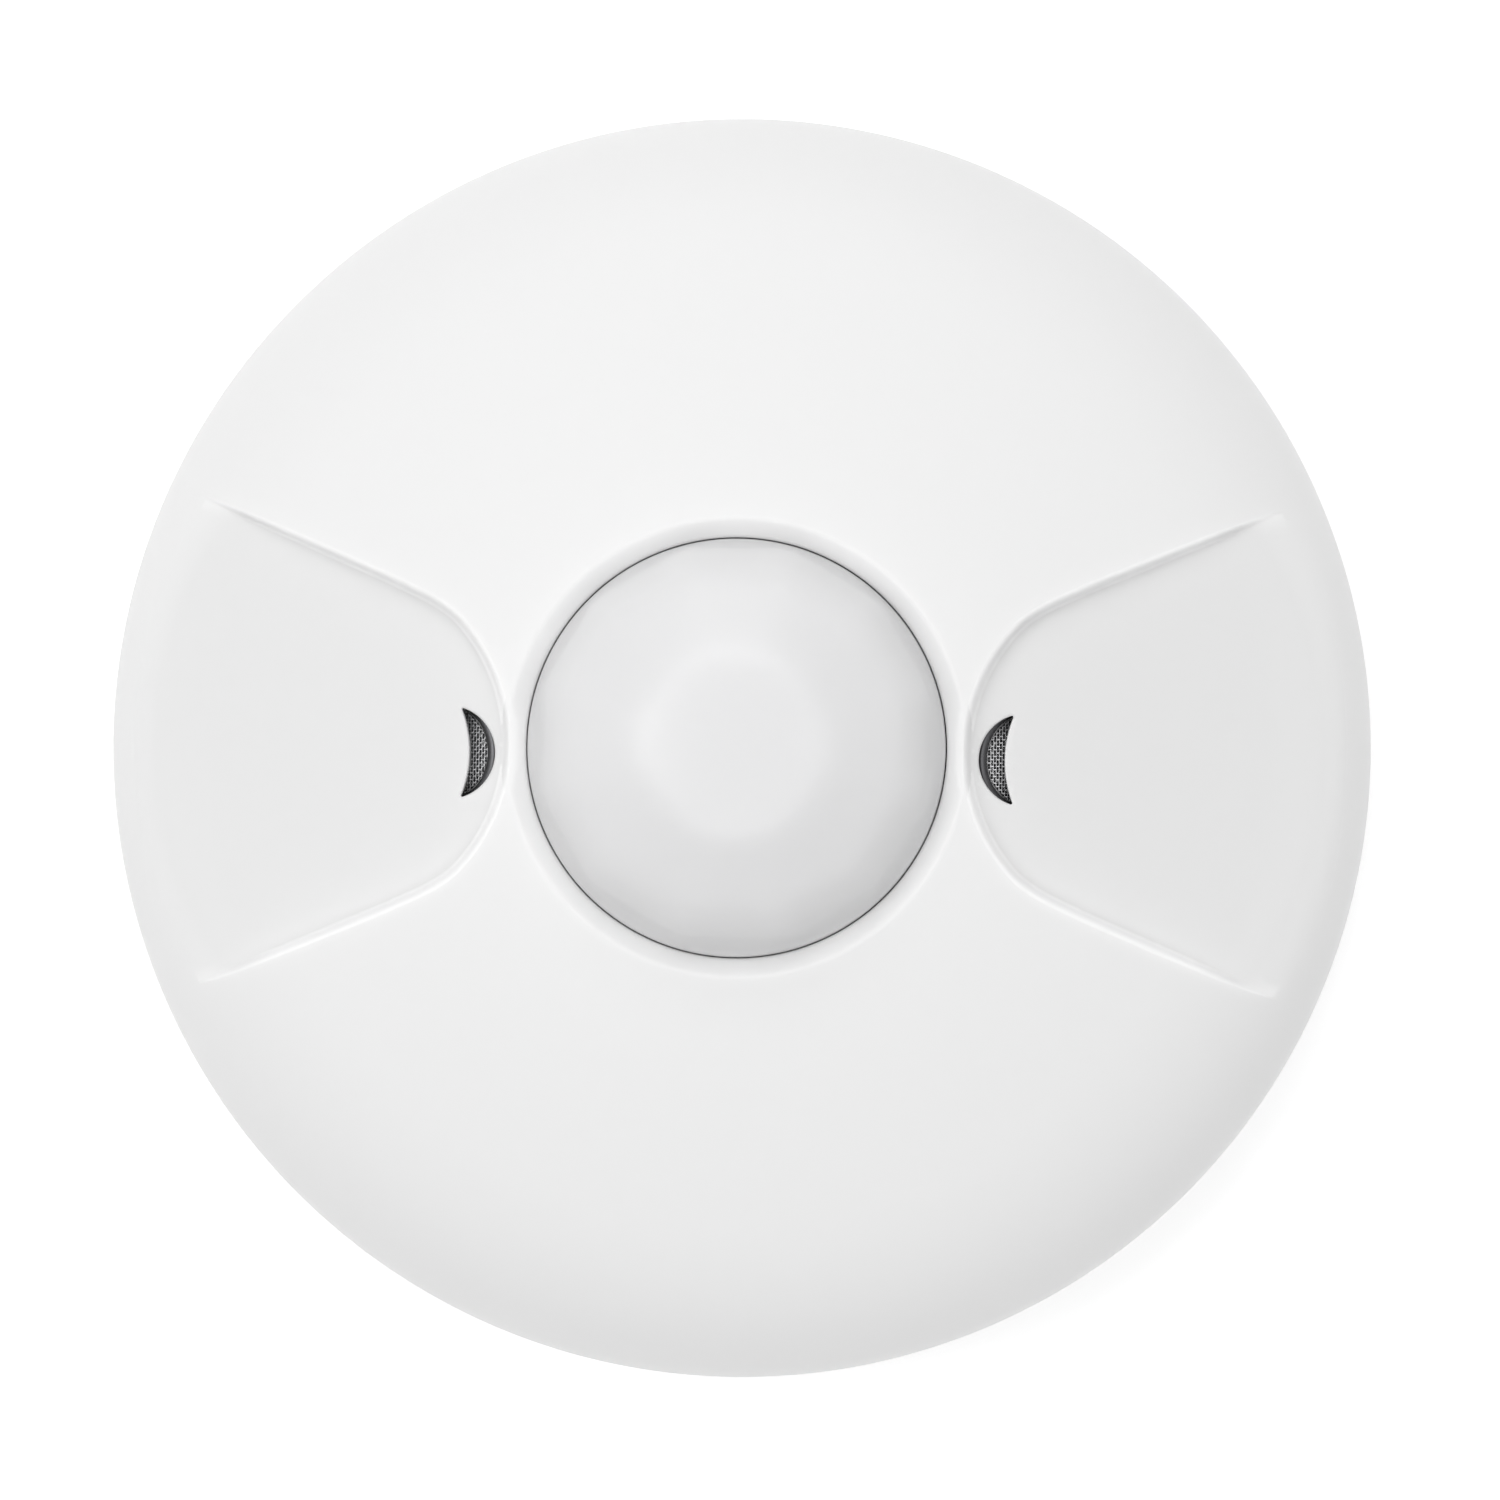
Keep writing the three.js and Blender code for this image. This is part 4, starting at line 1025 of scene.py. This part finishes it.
def retaining_ring():
    outer = LENS_FLANGE_RADIUS + 0.6
    wide = math.asin(RING_EAR_RADIUS / outer)
    outline, holes = [], [circle(0, 0, RING_INNER_RADIUS, 72)]
    for middle in POST_ANGLES:
        lead = arc((0, 0), outer, middle - math.pi / 4, middle - wide, 12)
        stake = polar(STAKE_CIRCLE, middle)
        tip = arc(stake, RING_EAR_RADIUS, middle - math.pi / 2, middle + math.pi / 2, 14)
        tail = arc((0, 0), outer, middle + wide, middle + math.pi / 4, 12)[:-1]
        flat_lead = [(max(-RING_FLAT_X, min(RING_FLAT_X, x)), y) for x, y in lead]
        flat_tail = [(max(-RING_FLAT_X, min(RING_FLAT_X, x)), y) for x, y in tail]
        outline += flat_lead + tip + flat_tail
        holes.append(circle(*stake, STAKE_HOLE_RADIUS, 24))
    build = Build()
    build.plate(outline, RING_BOTTOM, RING_TOP, holes)
    build.piece("retaining_ring", ["housing_plastic"], "cover", "lens_retaining_ring", edge=0.12)


# ---------------------------------------------------------------- plate and housing


def mounting_plate():
    holes = [circle(0, 0, WIRE_HOLE_PLATE, 72)]
    for quarter in range(4):
        across = SINGLE_BOX_SCREWS if quarter % 2 else OCTAGON_BOX_SCREWS
        holes.append(arc_slot(across, quarter * math.pi / 2, SLOT_HALF_ANGLE, SLOT_WIDTH))
    build = Build()
    build.plate(circle(0, 0, PLATE_RADIUS, 144), 0, PLATE_THICKNESS, holes)
    lip_bottom = HOUSING_FLOOR_TOP + REST_GAP
    lip_top = lip_bottom + HOOK_LIP_THICKNESS
    for angle in HOOK_ANGLES:
        start, end = angle - HOOK_HALF_ANGLE, angle + HOOK_HALF_ANGLE
        build.plate(sector(HOOK_INNER, HOOK_OUTER, start, end), PLATE_THICKNESS - 0.3, lip_bottom + 0.2)
        build.plate(sector(HOOK_INNER, HOOK_LIP_OUTER, start, end), lip_bottom, lip_top)
    build.piece("mounting_plate_body", ["housing_plastic"], "ceiling_plate", "mounting_plate", edge=0.2)


def hook_slot(angle):
    """Slot for one hook: wide where the hook goes in, and narrow where it is held."""
    clear = math.radians(1.2)
    start = angle - HOOK_HALF_ANGLE - TWIST_RANGE - clear
    end = angle + HOOK_HALF_ANGLE + clear
    wide_end = angle + HOOK_HALF_ANGLE - TWIST_RANGE + clear
    inner, outer, lip = HOOK_INNER - HOOK_SLOT_GAP, HOOK_OUTER + HOOK_SLOT_GAP, HOOK_LIP_OUTER + HOOK_SLOT_GAP
    steps = arc((0, 0), lip, start, wide_end, 8) + arc((0, 0), outer, wide_end, end, 12)
    return steps + arc((0, 0), inner, end, start, 18)


def rear_housing():
    build = Build()
    holes = [circle(0, 0, WIRE_HOLE_HOUSING, 60)] + [hook_slot(a) for a in HOOK_ANGLES]
    key_half = KEY_WIDTH / 2
    floor_outline = notched_disc(HOUSING_RADIUS - 0.3, key_half, HOUSING_RADIUS - 3.5)
    build.plate(floor_outline, HOUSING_FLOOR_BOTTOM, HOUSING_FLOOR_TOP, holes)
    inner = HOUSING_RADIUS - HOUSING_WALL
    gap = math.asin(key_half / HOUSING_RADIUS)
    for start in (-math.pi / 2, math.pi / 2):
        wall = sector(inner, HOUSING_RADIUS, start + gap, start + math.pi - gap, 90)
        build.plate(wall, HOUSING_FLOOR_BOTTOM + 0.05, HOUSING_TOP)
    lip_top = HOUSING_FLOOR_TOP + WIRE_LIP_HEIGHT
    build.tube(WIRE_HOLE_HOUSING + 0.02, WIRE_HOLE_HOUSING + HOUSING_WALL, HOUSING_FLOOR_TOP - 0.3, lip_top)
    for angle in POST_ANGLES:
        place = at(*polar(POST_CIRCLE, angle))
        top = BOARD_BOTTOM - REST_GAP
        rows = [(PILOT_RADIUS, HOUSING_FLOOR_TOP - 0.2), (POST_RADIUS, HOUSING_FLOOR_TOP - 0.2)]
        rows += [(POST_RADIUS - 0.1, top), (PILOT_RADIUS, top), rows[0]]
        build.turn(rows, place, count=32)
    build.piece("rear_housing_shell", ["housing_plastic"], "sensor_body", "rear_housing", edge=0.18)


# ---------------------------------------------------------------- board


def main_board():
    build = Build()
    holes = [circle(*polar(POST_CIRCLE, a), SCREW_HOLE_RADIUS, 32) for a in POST_ANGLES]
    outline = notched_disc(BOARD_RADIUS, BOARD_NOTCH_WIDTH / 2, BOARD_RADIUS - BOARD_NOTCH_DEPTH)
    build.plate(outline, BOARD_BOTTOM, BOARD_TOP, holes)
    build.piece("main_board_blank", ["board_laminate"], "sensor_body", "main_board", edge=0.06)


def board_details():
    """Tinned rings, small passive parts and vias, all worked out from rows of equal steps."""
    pads = Build()
    level = BOARD_TOP
    for angle in POST_ANGLES:
        pads.tube(SCREW_HOLE_RADIUS + 0.3, 3.4, level, level + 0.05, at(*polar(POST_CIRCLE, angle)))
    rows = [(-13, 26.3, 6), (1.5, 26.3, 5), (-13, -18, 6), (3, -18, 5), (-10, -22, 4), (5, -25.5, 4)]
    rows += [(-41, -10, 4), (-38, -13.5, 3), (20.5, -17, 3), (9, 14.5, 3), (-14, 14.5, 3), (-24, -25, 3)]
    for x0, y, count in rows:
        for i in range(count):
            for end in (-0.75, 0.75):
                pads.box(0.6, 0.9, 0.12, at(x0 + i * 2.4 + end, y, level))
    for ring_radius, count in ((25, 18), (38.5, 26), (45.5, 34)):
        for i in range(count):
            place = at(*polar(ring_radius, 2 * math.pi * (i + 0.37) / count), level)
            pads.tube(0.16, 0.38, 0, 0.05, place, count=12)
    pads.piece("board_pads", ["tin"], "sensor_body", slot="plated_steel", edge=0)
    chips = Build()
    for number, (x0, y, count) in enumerate(rows):
        for i in range(count):
            chips.box(1.2, 0.8, 0.5, at(x0 + i * 2.4, y, level + 0.06), (number + i) % 2)
    chips.piece("board_passives", ["chip_plastic", "ceramic"], "sensor_body", edge=0.05, segments=1)


def board_screw(number, angle):
    build = Build()
    place = at(*polar(POST_CIRCLE, angle), BOARD_TOP + 0.15, math.radians(17 * number))
    head = [(0, 0), (2.7, 0), (2.7, 0.55), (2.45, 1.0), (1.9, 1.45), (1.15, 1.7), (0, 1.75)]
    build.turn(head, place, count=36)
    for turn in (0, math.pi / 2):
        build.box(2.5, 0.55, 0.2, place @ at(0, 0, 1.58, turn), 1)
    build.rod(1.1, -4.8, 0.1, place, count=20)
    turns, steps = 6, 16
    helix = []
    for i in range(turns * steps):
        helix.append((*polar(1.15, 2 * math.pi * i / steps), -0.6 - 0.65 * i / steps))
    build.wire(helix, 0.16, place, sides=5)
    node = f"board_screw_{number}"
    build.piece(f"{node}_body", ["plated_steel", "recess_shadow"], "sensor_body", node, edge=0.08)


# ---------------------------------------------------------------- transducers


def woven_mesh(build, radius, pitch, wire, place):
    """Plain weave: wires both ways, each going over one neighbour and under the next."""
    reach = int(radius / pitch)
    for turn in (0, 1):
        for i in range(-reach, reach + 1):
            half = math.sqrt(max(radius**2 - (i * pitch) ** 2, 0))
            count = int(half / pitch)
            path = []
            for k in range(-2 * count, 2 * count + 1):
                lift = math.cos(math.pi * k / 2) * (-1) ** (i + turn) * wire * 0.52
                point = (k * pitch / 2, i * pitch)
                path.append((*(point if turn else point[::-1]), lift))
            if len(path) > 4:
                build.wire(path, wire / 2, place, sides=5)


def transducer(name, side):
    seating = port_side(side) @ port_seating(PORT_AXIS_X + CAN_OUTWARD_SHIFT, CAN_DEPTH_BELOW_FLOOR)
    can = Build()
    rows = [(0, -CAN_LENGTH), (CAN_RADIUS, -CAN_LENGTH), (CAN_RADIUS, -0.25), (CAN_RADIUS - 0.08, -0.08)]
    rows += [(CAN_RADIUS - 0.25, 0), (CAN_BORE + 0.2, 0), (CAN_BORE + 0.05, -0.06), (CAN_BORE, -0.25)]
    rows += [(CAN_BORE, -5.8), (0, -5.8)]
    can.turn(rows, seating, count=72)
    collar = [(CAN_PIN_RADIUS, -CAN_LENGTH - 0.5), (0.9, -CAN_LENGTH), (0, -CAN_LENGTH + 0.1)]
    for y in (-CAN_PIN_OFFSET, CAN_PIN_OFFSET):
        can.rod(CAN_PIN_RADIUS, -CAN_LENGTH - 4.2, -CAN_LENGTH + 0.2, seating @ at(0, y), 1)
        can.turn(collar, seating @ at(0, y), 2)
    materials = ["dark_aluminium", "tin", "black_plastic"]
    can.piece(f"{name}_case", materials, "sensor_body", f"{name}_can", edge=0.05)
    cone = Build()
    rows = [(0, -5.4), (3.5, -5.4), (3.5, -4.9), (0.9, -4.9)]
    rows += [(0.9, -3.8), (3.1, -1.5), (2.95, -1.4), (0, -3.5)]
    cone.turn(rows, seating, count=48)
    cone.piece(f"{name}_resonator", ["aluminium"], "sensor_body", f"{name}_cone", edge=0.05)
    mesh = Build()
    woven_mesh(mesh, CAN_BORE - 0.1, 0.3, 0.12, seating @ at(0, 0, -0.5))
    hoop = [(*polar(CAN_BORE - 0.12, a), 0) for a in np.linspace(0, 2 * math.pi, 60, endpoint=False)]
    mesh.wire(hoop, 0.12, seating @ at(0, 0, -0.5), closed=True)
    mesh.piece(f"{name}_weave", ["mesh_metal"], "sensor_body", f"{name}_mesh", edge=0)
    boot = Build()
    inner, outer, seat = CAN_RADIUS + 0.1, CAN_RADIUS + 0.8, -CAN_LENGTH - REST_GAP
    hole, rib = 3.3, outer + 0.15
    rows = [(hole, BOOT_BOTTOM), (outer, BOOT_BOTTOM), (outer, -7.4), (rib, -7.2), (rib, -6.7)]
    rows += [(outer, -6.5), (outer, -4.5), (inner, -4.5), (inner, seat), (hole, seat), (hole, BOOT_BOTTOM)]
    boot.turn(rows, seating, count=56)
    boot.piece(f"{name}_grommet", ["rubber"], "sensor_body", f"{name}_boot", edge=0.15)


# ---------------------------------------------------------------- parts on the board


def infrared_detector():
    place = at(0, 0, PIR_BASE)
    can = Build()
    rows = [(0, 0), (4.6, 0), (4.6, 0.45), (4.45, 0.55), (4.2, 0.6), (4.15, 0.75), (4.15, 3.85), (4.0, 4.15)]
    can.turn([*rows, (3.7, 4.3), (0, 4.3)], place, count=56)
    can.box(0.9, 1.0, 0.4, place @ at(0, 0, 0.0, math.pi / 4) @ at(4.75, 0))
    for i in range(3):
        can.rod(0.25, -4.3, 0.1, place @ at(*polar(2.54, i * math.pi / 2)), 1)
    can.piece("pir_case", ["plated_steel", "tin"], "sensor_body", "pir_sensor_can", edge=0.06)
    window = Build()
    window.box(3.8, 2.8, 0.42, place @ at(0, 0, 3.95))
    window.piece("pir_filter", ["dark_filter"], "sensor_body", "pir_window", edge=0.05)
    frame_band = Build()
    outline = [(-2.1, -1.6), (2.1, -1.6), (2.1, 1.6), (-2.1, 1.6)]
    hole = [(-1.85, -1.35), (1.85, -1.35), (1.85, 1.35), (-1.85, 1.35)]
    frame_band.plate(outline, 4.28, 4.42, [hole], place)
    frame_band.piece("pir_window_frame", ["plated_steel"], "sensor_body", edge=0.03)
    spacer = Build()
    spacer.tube(3.1, 5, PART_BASE, PIR_BASE - 0.2)
    for i in range(3):
        angle = i * 2 * math.pi / 3
        spacer.box(1.6, 1.0, PIR_BASE - 0.3 - PART_BASE, at(*polar(5.1, angle), PART_BASE, angle))
    spacer.piece("pir_standoff", ["black_plastic"], "sensor_body", "pir_spacer", edge=0.12)


def soldered_legs(build, place, length, mat):
    """Two wire legs, each with a cone of solder at its foot."""
    for leg in (-LEG_SPREAD, LEG_SPREAD):
        build.rod(0.25, -length, 0.1, place @ at(leg, 0), mat)
        build.turn([(0.25, 0.8 - length), (0.85, 0.05 - length), (0, -length)], place @ at(leg, 0), mat, 16)


def led(name, x, y):
    build = Build()
    place = at(x, y, PART_BASE + 2.2)
    radius, shoulder = 1.5, 3.8
    dome = [(radius * math.cos(a), shoulder + radius * math.sin(a)) for a in np.radians(np.arange(0, 90, 9))]
    build.turn([(0, 0), (1.9, 0), (1.9, 0.9), (radius, 1.0), *dome, (0, shoulder + radius)], place, count=36)
    soldered_legs(build, place, 2.2, 1)
    build.piece(f"{name}_bulb", [name, "tin"], "sensor_body", name, edge=0.05)


def light_sensor():
    build = Build()
    place = at(0, LIGHT_SENSOR_Y, PART_BASE + 3.2)
    build.turn([(0, 0), (2.5, 0), (2.5, 1.7), (2.35, 1.95), (0, 2.0)], place, count=40)
    track = []
    for i in range(9):
        x = -1.6 + i * 0.4
        reach = math.sqrt(4 - x * x) * 0.8 * (1 if i % 2 else -1)
        track += [(x, -reach, 2.0), (x, reach, 2.0)]
    build.wire(track, 0.09, place, 1, sides=6)
    soldered_legs(build, place, 3.2, 2)
    materials = ["photocell", "copper_winding", "tin"]
    build.piece("light_sensor_cell", materials, "sensor_body", "light_sensor", edge=0.05)


def trimmer(index, name):
    x = (index - 1.5) * TRIMMER_PITCH
    place = at(x, TRIMMER_ROW_Y, PART_BASE)
    body = Build()
    half_x, half_y = 3.4, 3.5
    outline = [(-half_x, -half_y), (half_x, -half_y), (half_x, half_y), (-half_x, half_y)]
    body.plate(outline, 0.4, 5, [circle(0, 0, TRIMMER_DIAL_RADIUS + REST_GAP, 40)], place)
    body.box(2 * half_x - 0.2, 2 * half_y - 0.2, 3.7, place)
    for leg_x, leg_y in ((-2.54, -3.0), (2.54, -3.0), (0, 3.0)):
        body.rod(0.3, -0.9, 0.5, place @ at(leg_x, leg_y), 1)
    for angle in (-135, 135):
        mark = place @ at(0, 0, 4.98, math.radians(angle)) @ at(3.15, 0)
        body.box(0.45, 0.2, 0.06, mark, 2)
    node = f"trimmer_body_{name}"
    body.piece(f"{node}_case", ["trimmer_plastic", "tin", "slider_white"], "sensor_body", node, edge=0.12)
    dial = Build()
    centre = place @ at(0, 0, TRIMMER_DIAL_RISE)
    radius = TRIMMER_DIAL_RADIUS
    dial.rod(radius, 0, 1.1, centre, count=48)
    # The top layer is cut through by the screwdriver slot and its arrow.
    slot, arm, tip = 0.35, 1.8, 2.0
    cut = [(-slot, -arm), (slot, -arm), (slot, -slot), (tip, -slot)]
    cut += [(tip, slot), (slot, slot), (slot, arm), (-slot, arm)]
    dial.plate(circle(0, 0, radius, 48), 1.05, 2.0, [cut], centre)
    node = f"trimmer_dial_{name}"
    dial.piece(f"{node}_rotor", [DIAL_SLOTS[index]], f"dial_{name}", node, edge=0.1)


def option_bank(bank):
    place = at((-1, 1)[bank] * DIP_BANK_X, DIP_ROW_Y, PART_BASE)
    offsets = [(i - 1.5) * DIP_PITCH for i in range(4)]
    body = Build()
    outline = [(-5.8, -4), (5.8, -4), (5.8, 4), (-5.8, 4)]
    windows = [[(x - 0.75, -2), (x + 0.75, -2), (x + 0.75, 2), (x - 0.75, 2)] for x in offsets]
    body.plate(outline, 1.55, 3.4, windows, place)
    body.box(11.5, 7.9, 1.6, place)
    for x in offsets:
        for y in (-3.81, 3.81):
            body.rod(0.28, -0.9, 0.3, place @ at(x, y), 1)
        body.box(0.8, 0.25, 0.05, place @ at(x, 3.2, 3.38), 2)
    node = f"dip_housing_{bank + 1}"
    body.piece(f"{node}_case", ["switch_red", "tin", "slider_white"], "sensor_body", node, edge=0.1)
    for i, x in enumerate(offsets):
        number = bank * 4 + i + 1
        slider = Build()
        seat = place @ at(x, -0.9, 1.8)
        slider.box(1.1, 2.0, 1.2, seat)
        slider.box(1.1, 0.9, 1.85, seat @ at(0, 0, 1.0), taper=0.08)
        for y in (-0.25, 0, 0.25):
            slider.box(0.9, 0.1, 0.06, seat @ at(0, y, 2.84))
        node = f"dip_slider_{number}"
        slider.piece(f"{node}_knob", ["slider_white"], f"option_slider_{number}", node, edge=0.07)


def chip(node, place, width, depth, height, legs, pitch, sides):
    """Moulded package with gull-wing legs on two sides or four, and a dimple by its first leg."""
    build = Build()
    build.box(width, depth, height * 0.55, place @ at(0, 0, 0.15))
    build.box(width, depth, height * 0.45, place @ at(0, 0, 0.15 + height * 0.55), taper=0.18)
    dimple = place @ at(0.9 - width / 2, 0.9 - depth / 2, height + 0.13)
    build.rod(0.45, 0, 0.04, dimple, 2, 20)
    for side in range(sides):
        turn = side * 2 * math.pi / sides if sides == 4 else side * math.pi
        out = (depth if side % 2 == 0 or sides == 2 else width) / 2
        for i in range(legs):
            step = (i - (legs - 1) / 2) * pitch
            leg = place @ Matrix.Rotation(turn, 4, "Z") @ at(step, out)
            build.box(0.42, 0.5, 0.18, leg @ at(0, 0.15, 0.75), 1)
            build.box(0.42, 0.18, 0.8, leg @ at(0, 0.38, 0.02), 1)
            build.box(0.42, 0.6, 0.18, leg @ at(0, 0.66, -0.02), 1)
            build.box(0.7, 1.1, 0.06, leg @ at(0, 0.7, -0.2), 1)
    build.piece(f"{node}_package", ["chip_plastic", "tin", "recess_shadow"], "sensor_body", node, edge=0.05)


def clock_crystal():
    build = Build()
    place = at(*CRYSTAL_PLACE, PART_BASE)
    half, radius, flange = 3, 2.2, 2.5

    def stadium(r, count=14):
        right = arc((half, 0), r, -math.pi / 2, math.pi / 2, count)
        return right + [(-x, -y) for x, y in right]

    build.plate(stadium(flange), 0, 0.5, place=place)
    build.plate(stadium(radius), 0.4, 3.6, place=place)
    build.piece("clock_crystal_case", ["plated_steel"], "sensor_body", "clock_crystal", edge=0.3, segments=3)


def driver_coil():
    build = Build()
    place = at(*COIL_PLACE, PART_BASE)
    build.box(9.4, 9.4, 1, place)
    build.rod(3.4, 0.9, 6.2, place, count=40)
    cap = [(0, 6.0), (4.5, 6.0), (4.5, 7.0), (4.2, 7.2), (1.2, 7.2), (1.2, 6.9), (0, 6.9)]
    build.turn(cap, place, count=48)
    turns, steps = 13, 28
    winding = []
    for i in range(turns * steps):
        winding.append((*polar(4.0, 2 * math.pi * i / steps), 1.75 + 0.3 * i / steps))
    build.wire(winding, 0.17, place, 1, sides=6)
    build.rod(3.95, 1.5, 5.75, place, 1, count=40)
    materials = ["black_plastic", "copper_winding"]
    build.piece("driver_coil_bobbin", materials, "sensor_body", "driver_coil", edge=0.1)


def voltage_regulator():
    build = Build()
    place = at(*REGULATOR_PLACE, PART_BASE)
    build.box(6.5, 3.5, 1.6, place @ at(0, 0, 0.1), taper=0.15)
    build.box(3, 3, 0.35, place @ at(0, 2.2), 1)
    for x in (-2.3, 0, 2.3):
        build.box(0.8, 0.5, 0.2, place @ at(x, -1.85, 0.8), 1)
        build.box(0.8, 0.2, 0.9, place @ at(x, -2.1), 1)
        build.box(0.8, 1.5, 0.2, place @ at(x, -2.75), 1)
    node = "voltage_regulator"
    build.piece(f"{node}_package", ["chip_plastic", "tin"], "sensor_body", node, edge=0.06)


def capacitor(number, x, y):
    build = Build()
    place = at(x, y, PART_BASE)
    radius, groove = 3.15, [(2.98, 0.85), (2.95, 1.0), (2.98, 1.15)]
    sleeve = [(0, 0), (2.9, 0), (3.12, 0.15), (radius, 0.7), *groove, (radius, 1.3)]
    sleeve += [(radius, 6.85), (3.0, 7.1), (2.6, 7.15), (2.5, 7.05), (0, 7.05)]
    build.turn(sleeve, place, count=48)
    build.turn([(0, 7.0), (2.48, 7.0), (2.48, 7.12), (0, 7.15)], place, 1, 40)
    for turn in (0, math.pi / 3, -math.pi / 3):
        build.box(3.4, 0.16, 0.03, place @ at(0, 0, 7.14, turn), 3)
    build.plate(sector(3.1, 3.2, -0.35, 0.35), 1.5, 6.6, place=place, mat=2)
    name = f"capacitor_{number}"
    materials = ["capacitor_sleeve", "aluminium", "slider_white", "recess_shadow"]
    build.piece(f"{name}_body", materials, "sensor_body", name, edge=0.04)


def lead_header():
    build = Build()
    place = at(0, 0, BOARD_BOTTOM - 0.2)
    outline = [(-7, -2.9), (7, -2.9), (7, 2.9), (-7, 2.9)]
    well = [(-6.3, -2.2), (6.3, -2.2), (6.3, 2.2), (-6.3, 2.2)]
    build.plate(outline, -5, -2.1, [well], place)
    build.box(14, 5.8, 2.2, place @ at(0, 0, -2.2))
    for step in range(-2, 3):
        build.box(0.64, 0.64, 3.4, place @ at(step * 2.5, 0, -5), 1)
        build.box(1.0, 0.5, 1.0, place @ at(step * 2.5, 2.75, -3.4))
    build.piece("lead_header_shell", ["header_nylon", "tin"], "sensor_body", "lead_header", edge=0.12)


def transducer_bracket(name, side):
    """Wedge with a sloping top and a slot for the pins: two cheeks joined by a thin outer end."""
    seating = port_seating(PORT_AXIS_X + CAN_OUTWARD_SHIFT, CAN_DEPTH_BELOW_FLOOR)
    axis = Vector((math.sin(PORT_TILT), 0, math.cos(PORT_TILT)))
    ledge = seating.translation.dot(axis) + BOOT_BOTTOM - REST_GAP
    low, far, bridge, half, slot_half = 15.8, 26.2, 24.6, 6.3, 3.4

    def slope(start):
        top = [(x, (ledge - x * axis.x) / axis.z) for x in (far, start)]
        return [(start, PART_BASE), (far, PART_BASE), *top]

    place = port_side(side) @ Matrix.Rotation(math.pi / 2, 4, "X")
    build = Build()
    cheeks = [(low, -half, -slot_half), (low, slot_half, half)]
    for start, bottom, top in (*cheeks, (bridge, -slot_half, slot_half)):
        build.plate(slope(start), bottom, top, place=place)
    build.piece(f"{name}_saddle", ["black_plastic"], "sensor_body", f"{name}_bracket", edge=0.12)


def parts_inside():
    cover_fittings()
    retaining_ring()
    mounting_plate()
    rear_housing()
    main_board()
    board_details()
    for number, angle in enumerate(POST_ANGLES, 1):
        board_screw(number, angle)
    for name, side in (("transmitter", 1), ("receiver", -1)):
        transducer(name, side)
        transducer_bracket(name, side)
    infrared_detector()
    led("led_red", -LED_OFFSET, -LED_OFFSET)
    led("led_green", LED_OFFSET, -LED_OFFSET)
    light_sensor()
    for index, name in enumerate(TRIMMER_NAMES):
        trimmer(index, name)
    for bank in (0, 1):
        option_bank(bank)
    chip("microcontroller", at(*MICROCONTROLLER_PLACE, PART_BASE), 9, 9, 1.3, 7, 1.0, 4)
    chip("amplifier_chip", at(*AMPLIFIER_PLACE, PART_BASE), 8.7, 3.9, 1.4, 7, 1.27, 2)
    clock_crystal()
    driver_coil()
    voltage_regulator()
    for number, (x, y) in enumerate(CAPACITOR_PLACES, 1):
        capacitor(number, x, y)
    lead_header()


parts_inside()

# ---------------------------------------------------------------- floor, lights and camera


def floor():
    mesh = bpy.data.meshes.new("floor")
    half = 3.0
    corners = [(-half, -half), (half, -half), (half, half), (-half, half)]
    mesh.from_pydata([(*corner, FLOOR_LEVEL * MM) for corner in corners], [], [(0, 1, 2, 3)])
    made = material("floor_white", (0.82, 0.82, 0.82), 0.9, Emission_Strength=0.36)
    made.node_tree.nodes["Principled BSDF"].inputs["Emission Color"].default_value = (1, 1, 1, 1)
    mesh.materials.append(made)
    obj = bpy.data.objects.new("floor", mesh)
    bpy.context.scene.collection.objects.link(obj)


def area_light(name, place, size, radiance, aim=(0, 0, 0.02)):
    data = bpy.data.lights.new(name, "AREA")
    data.shape = "RECTANGLE"
    data.size, data.size_y = size
    data.energy = radiance * math.pi * data.size * data.size_y
    obj = bpy.data.objects.new(name, data)
    obj.location = place
    obj.rotation_euler = (Vector(aim) - Vector(place)).to_track_quat("-Z", "Y").to_euler()
    obj.visible_camera = False
    bpy.context.scene.collection.objects.link(obj)


def camera():
    """Nearly straight down, leaning a little towards +X, with the sensor turned slightly."""
    distance = 1.1
    lean = math.radians(1.6)
    frame_width = 0.1349
    aim = Vector((0.0010, -0.00017, 0.018))
    data = bpy.data.cameras.new("camera")
    data.lens = data.sensor_width * distance / frame_width
    obj = bpy.data.objects.new("camera", data)
    roll = Matrix.Rotation(math.radians(0.8), 4, "Z")
    tilt = Matrix.Rotation(lean, 4, "Y")
    obj.matrix_world = Matrix.Translation(aim) @ tilt @ roll @ Matrix.Translation((0, 0, distance))
    bpy.context.scene.collection.objects.link(obj)
    bpy.context.scene.camera = obj


def world():
    made = bpy.data.worlds.new("studio")
    made.use_nodes = True
    background = made.node_tree.nodes["Background"]
    background.inputs["Color"].default_value = (1, 1, 1, 1)
    background.inputs["Strength"].default_value = 0.34
    bpy.context.scene.world = made


# Soft panels stand off the vertical, so that none of them is mirrored in the middle of the lens.
floor()
area_light("upper_panel", (-0.1, 0.85, 1.5), (1.2, 0.6), 3.5)
area_light("far_panel", (-0.15, 1.4, 1.15), (1.2, 0.4), 2.2)
area_light("left_panel", (-0.8, 0.05, 1.5), (0.6, 1.0), 4.0)
area_light("right_panel", (0.75, 0.0, 1.5), (0.6, 1.0), 1.9)
area_light("lower_panel", (0.0, -0.75, 1.5), (1.0, 0.6), 2.65)
camera()
world()
bpy.context.scene.view_settings.view_transform = "Standard"

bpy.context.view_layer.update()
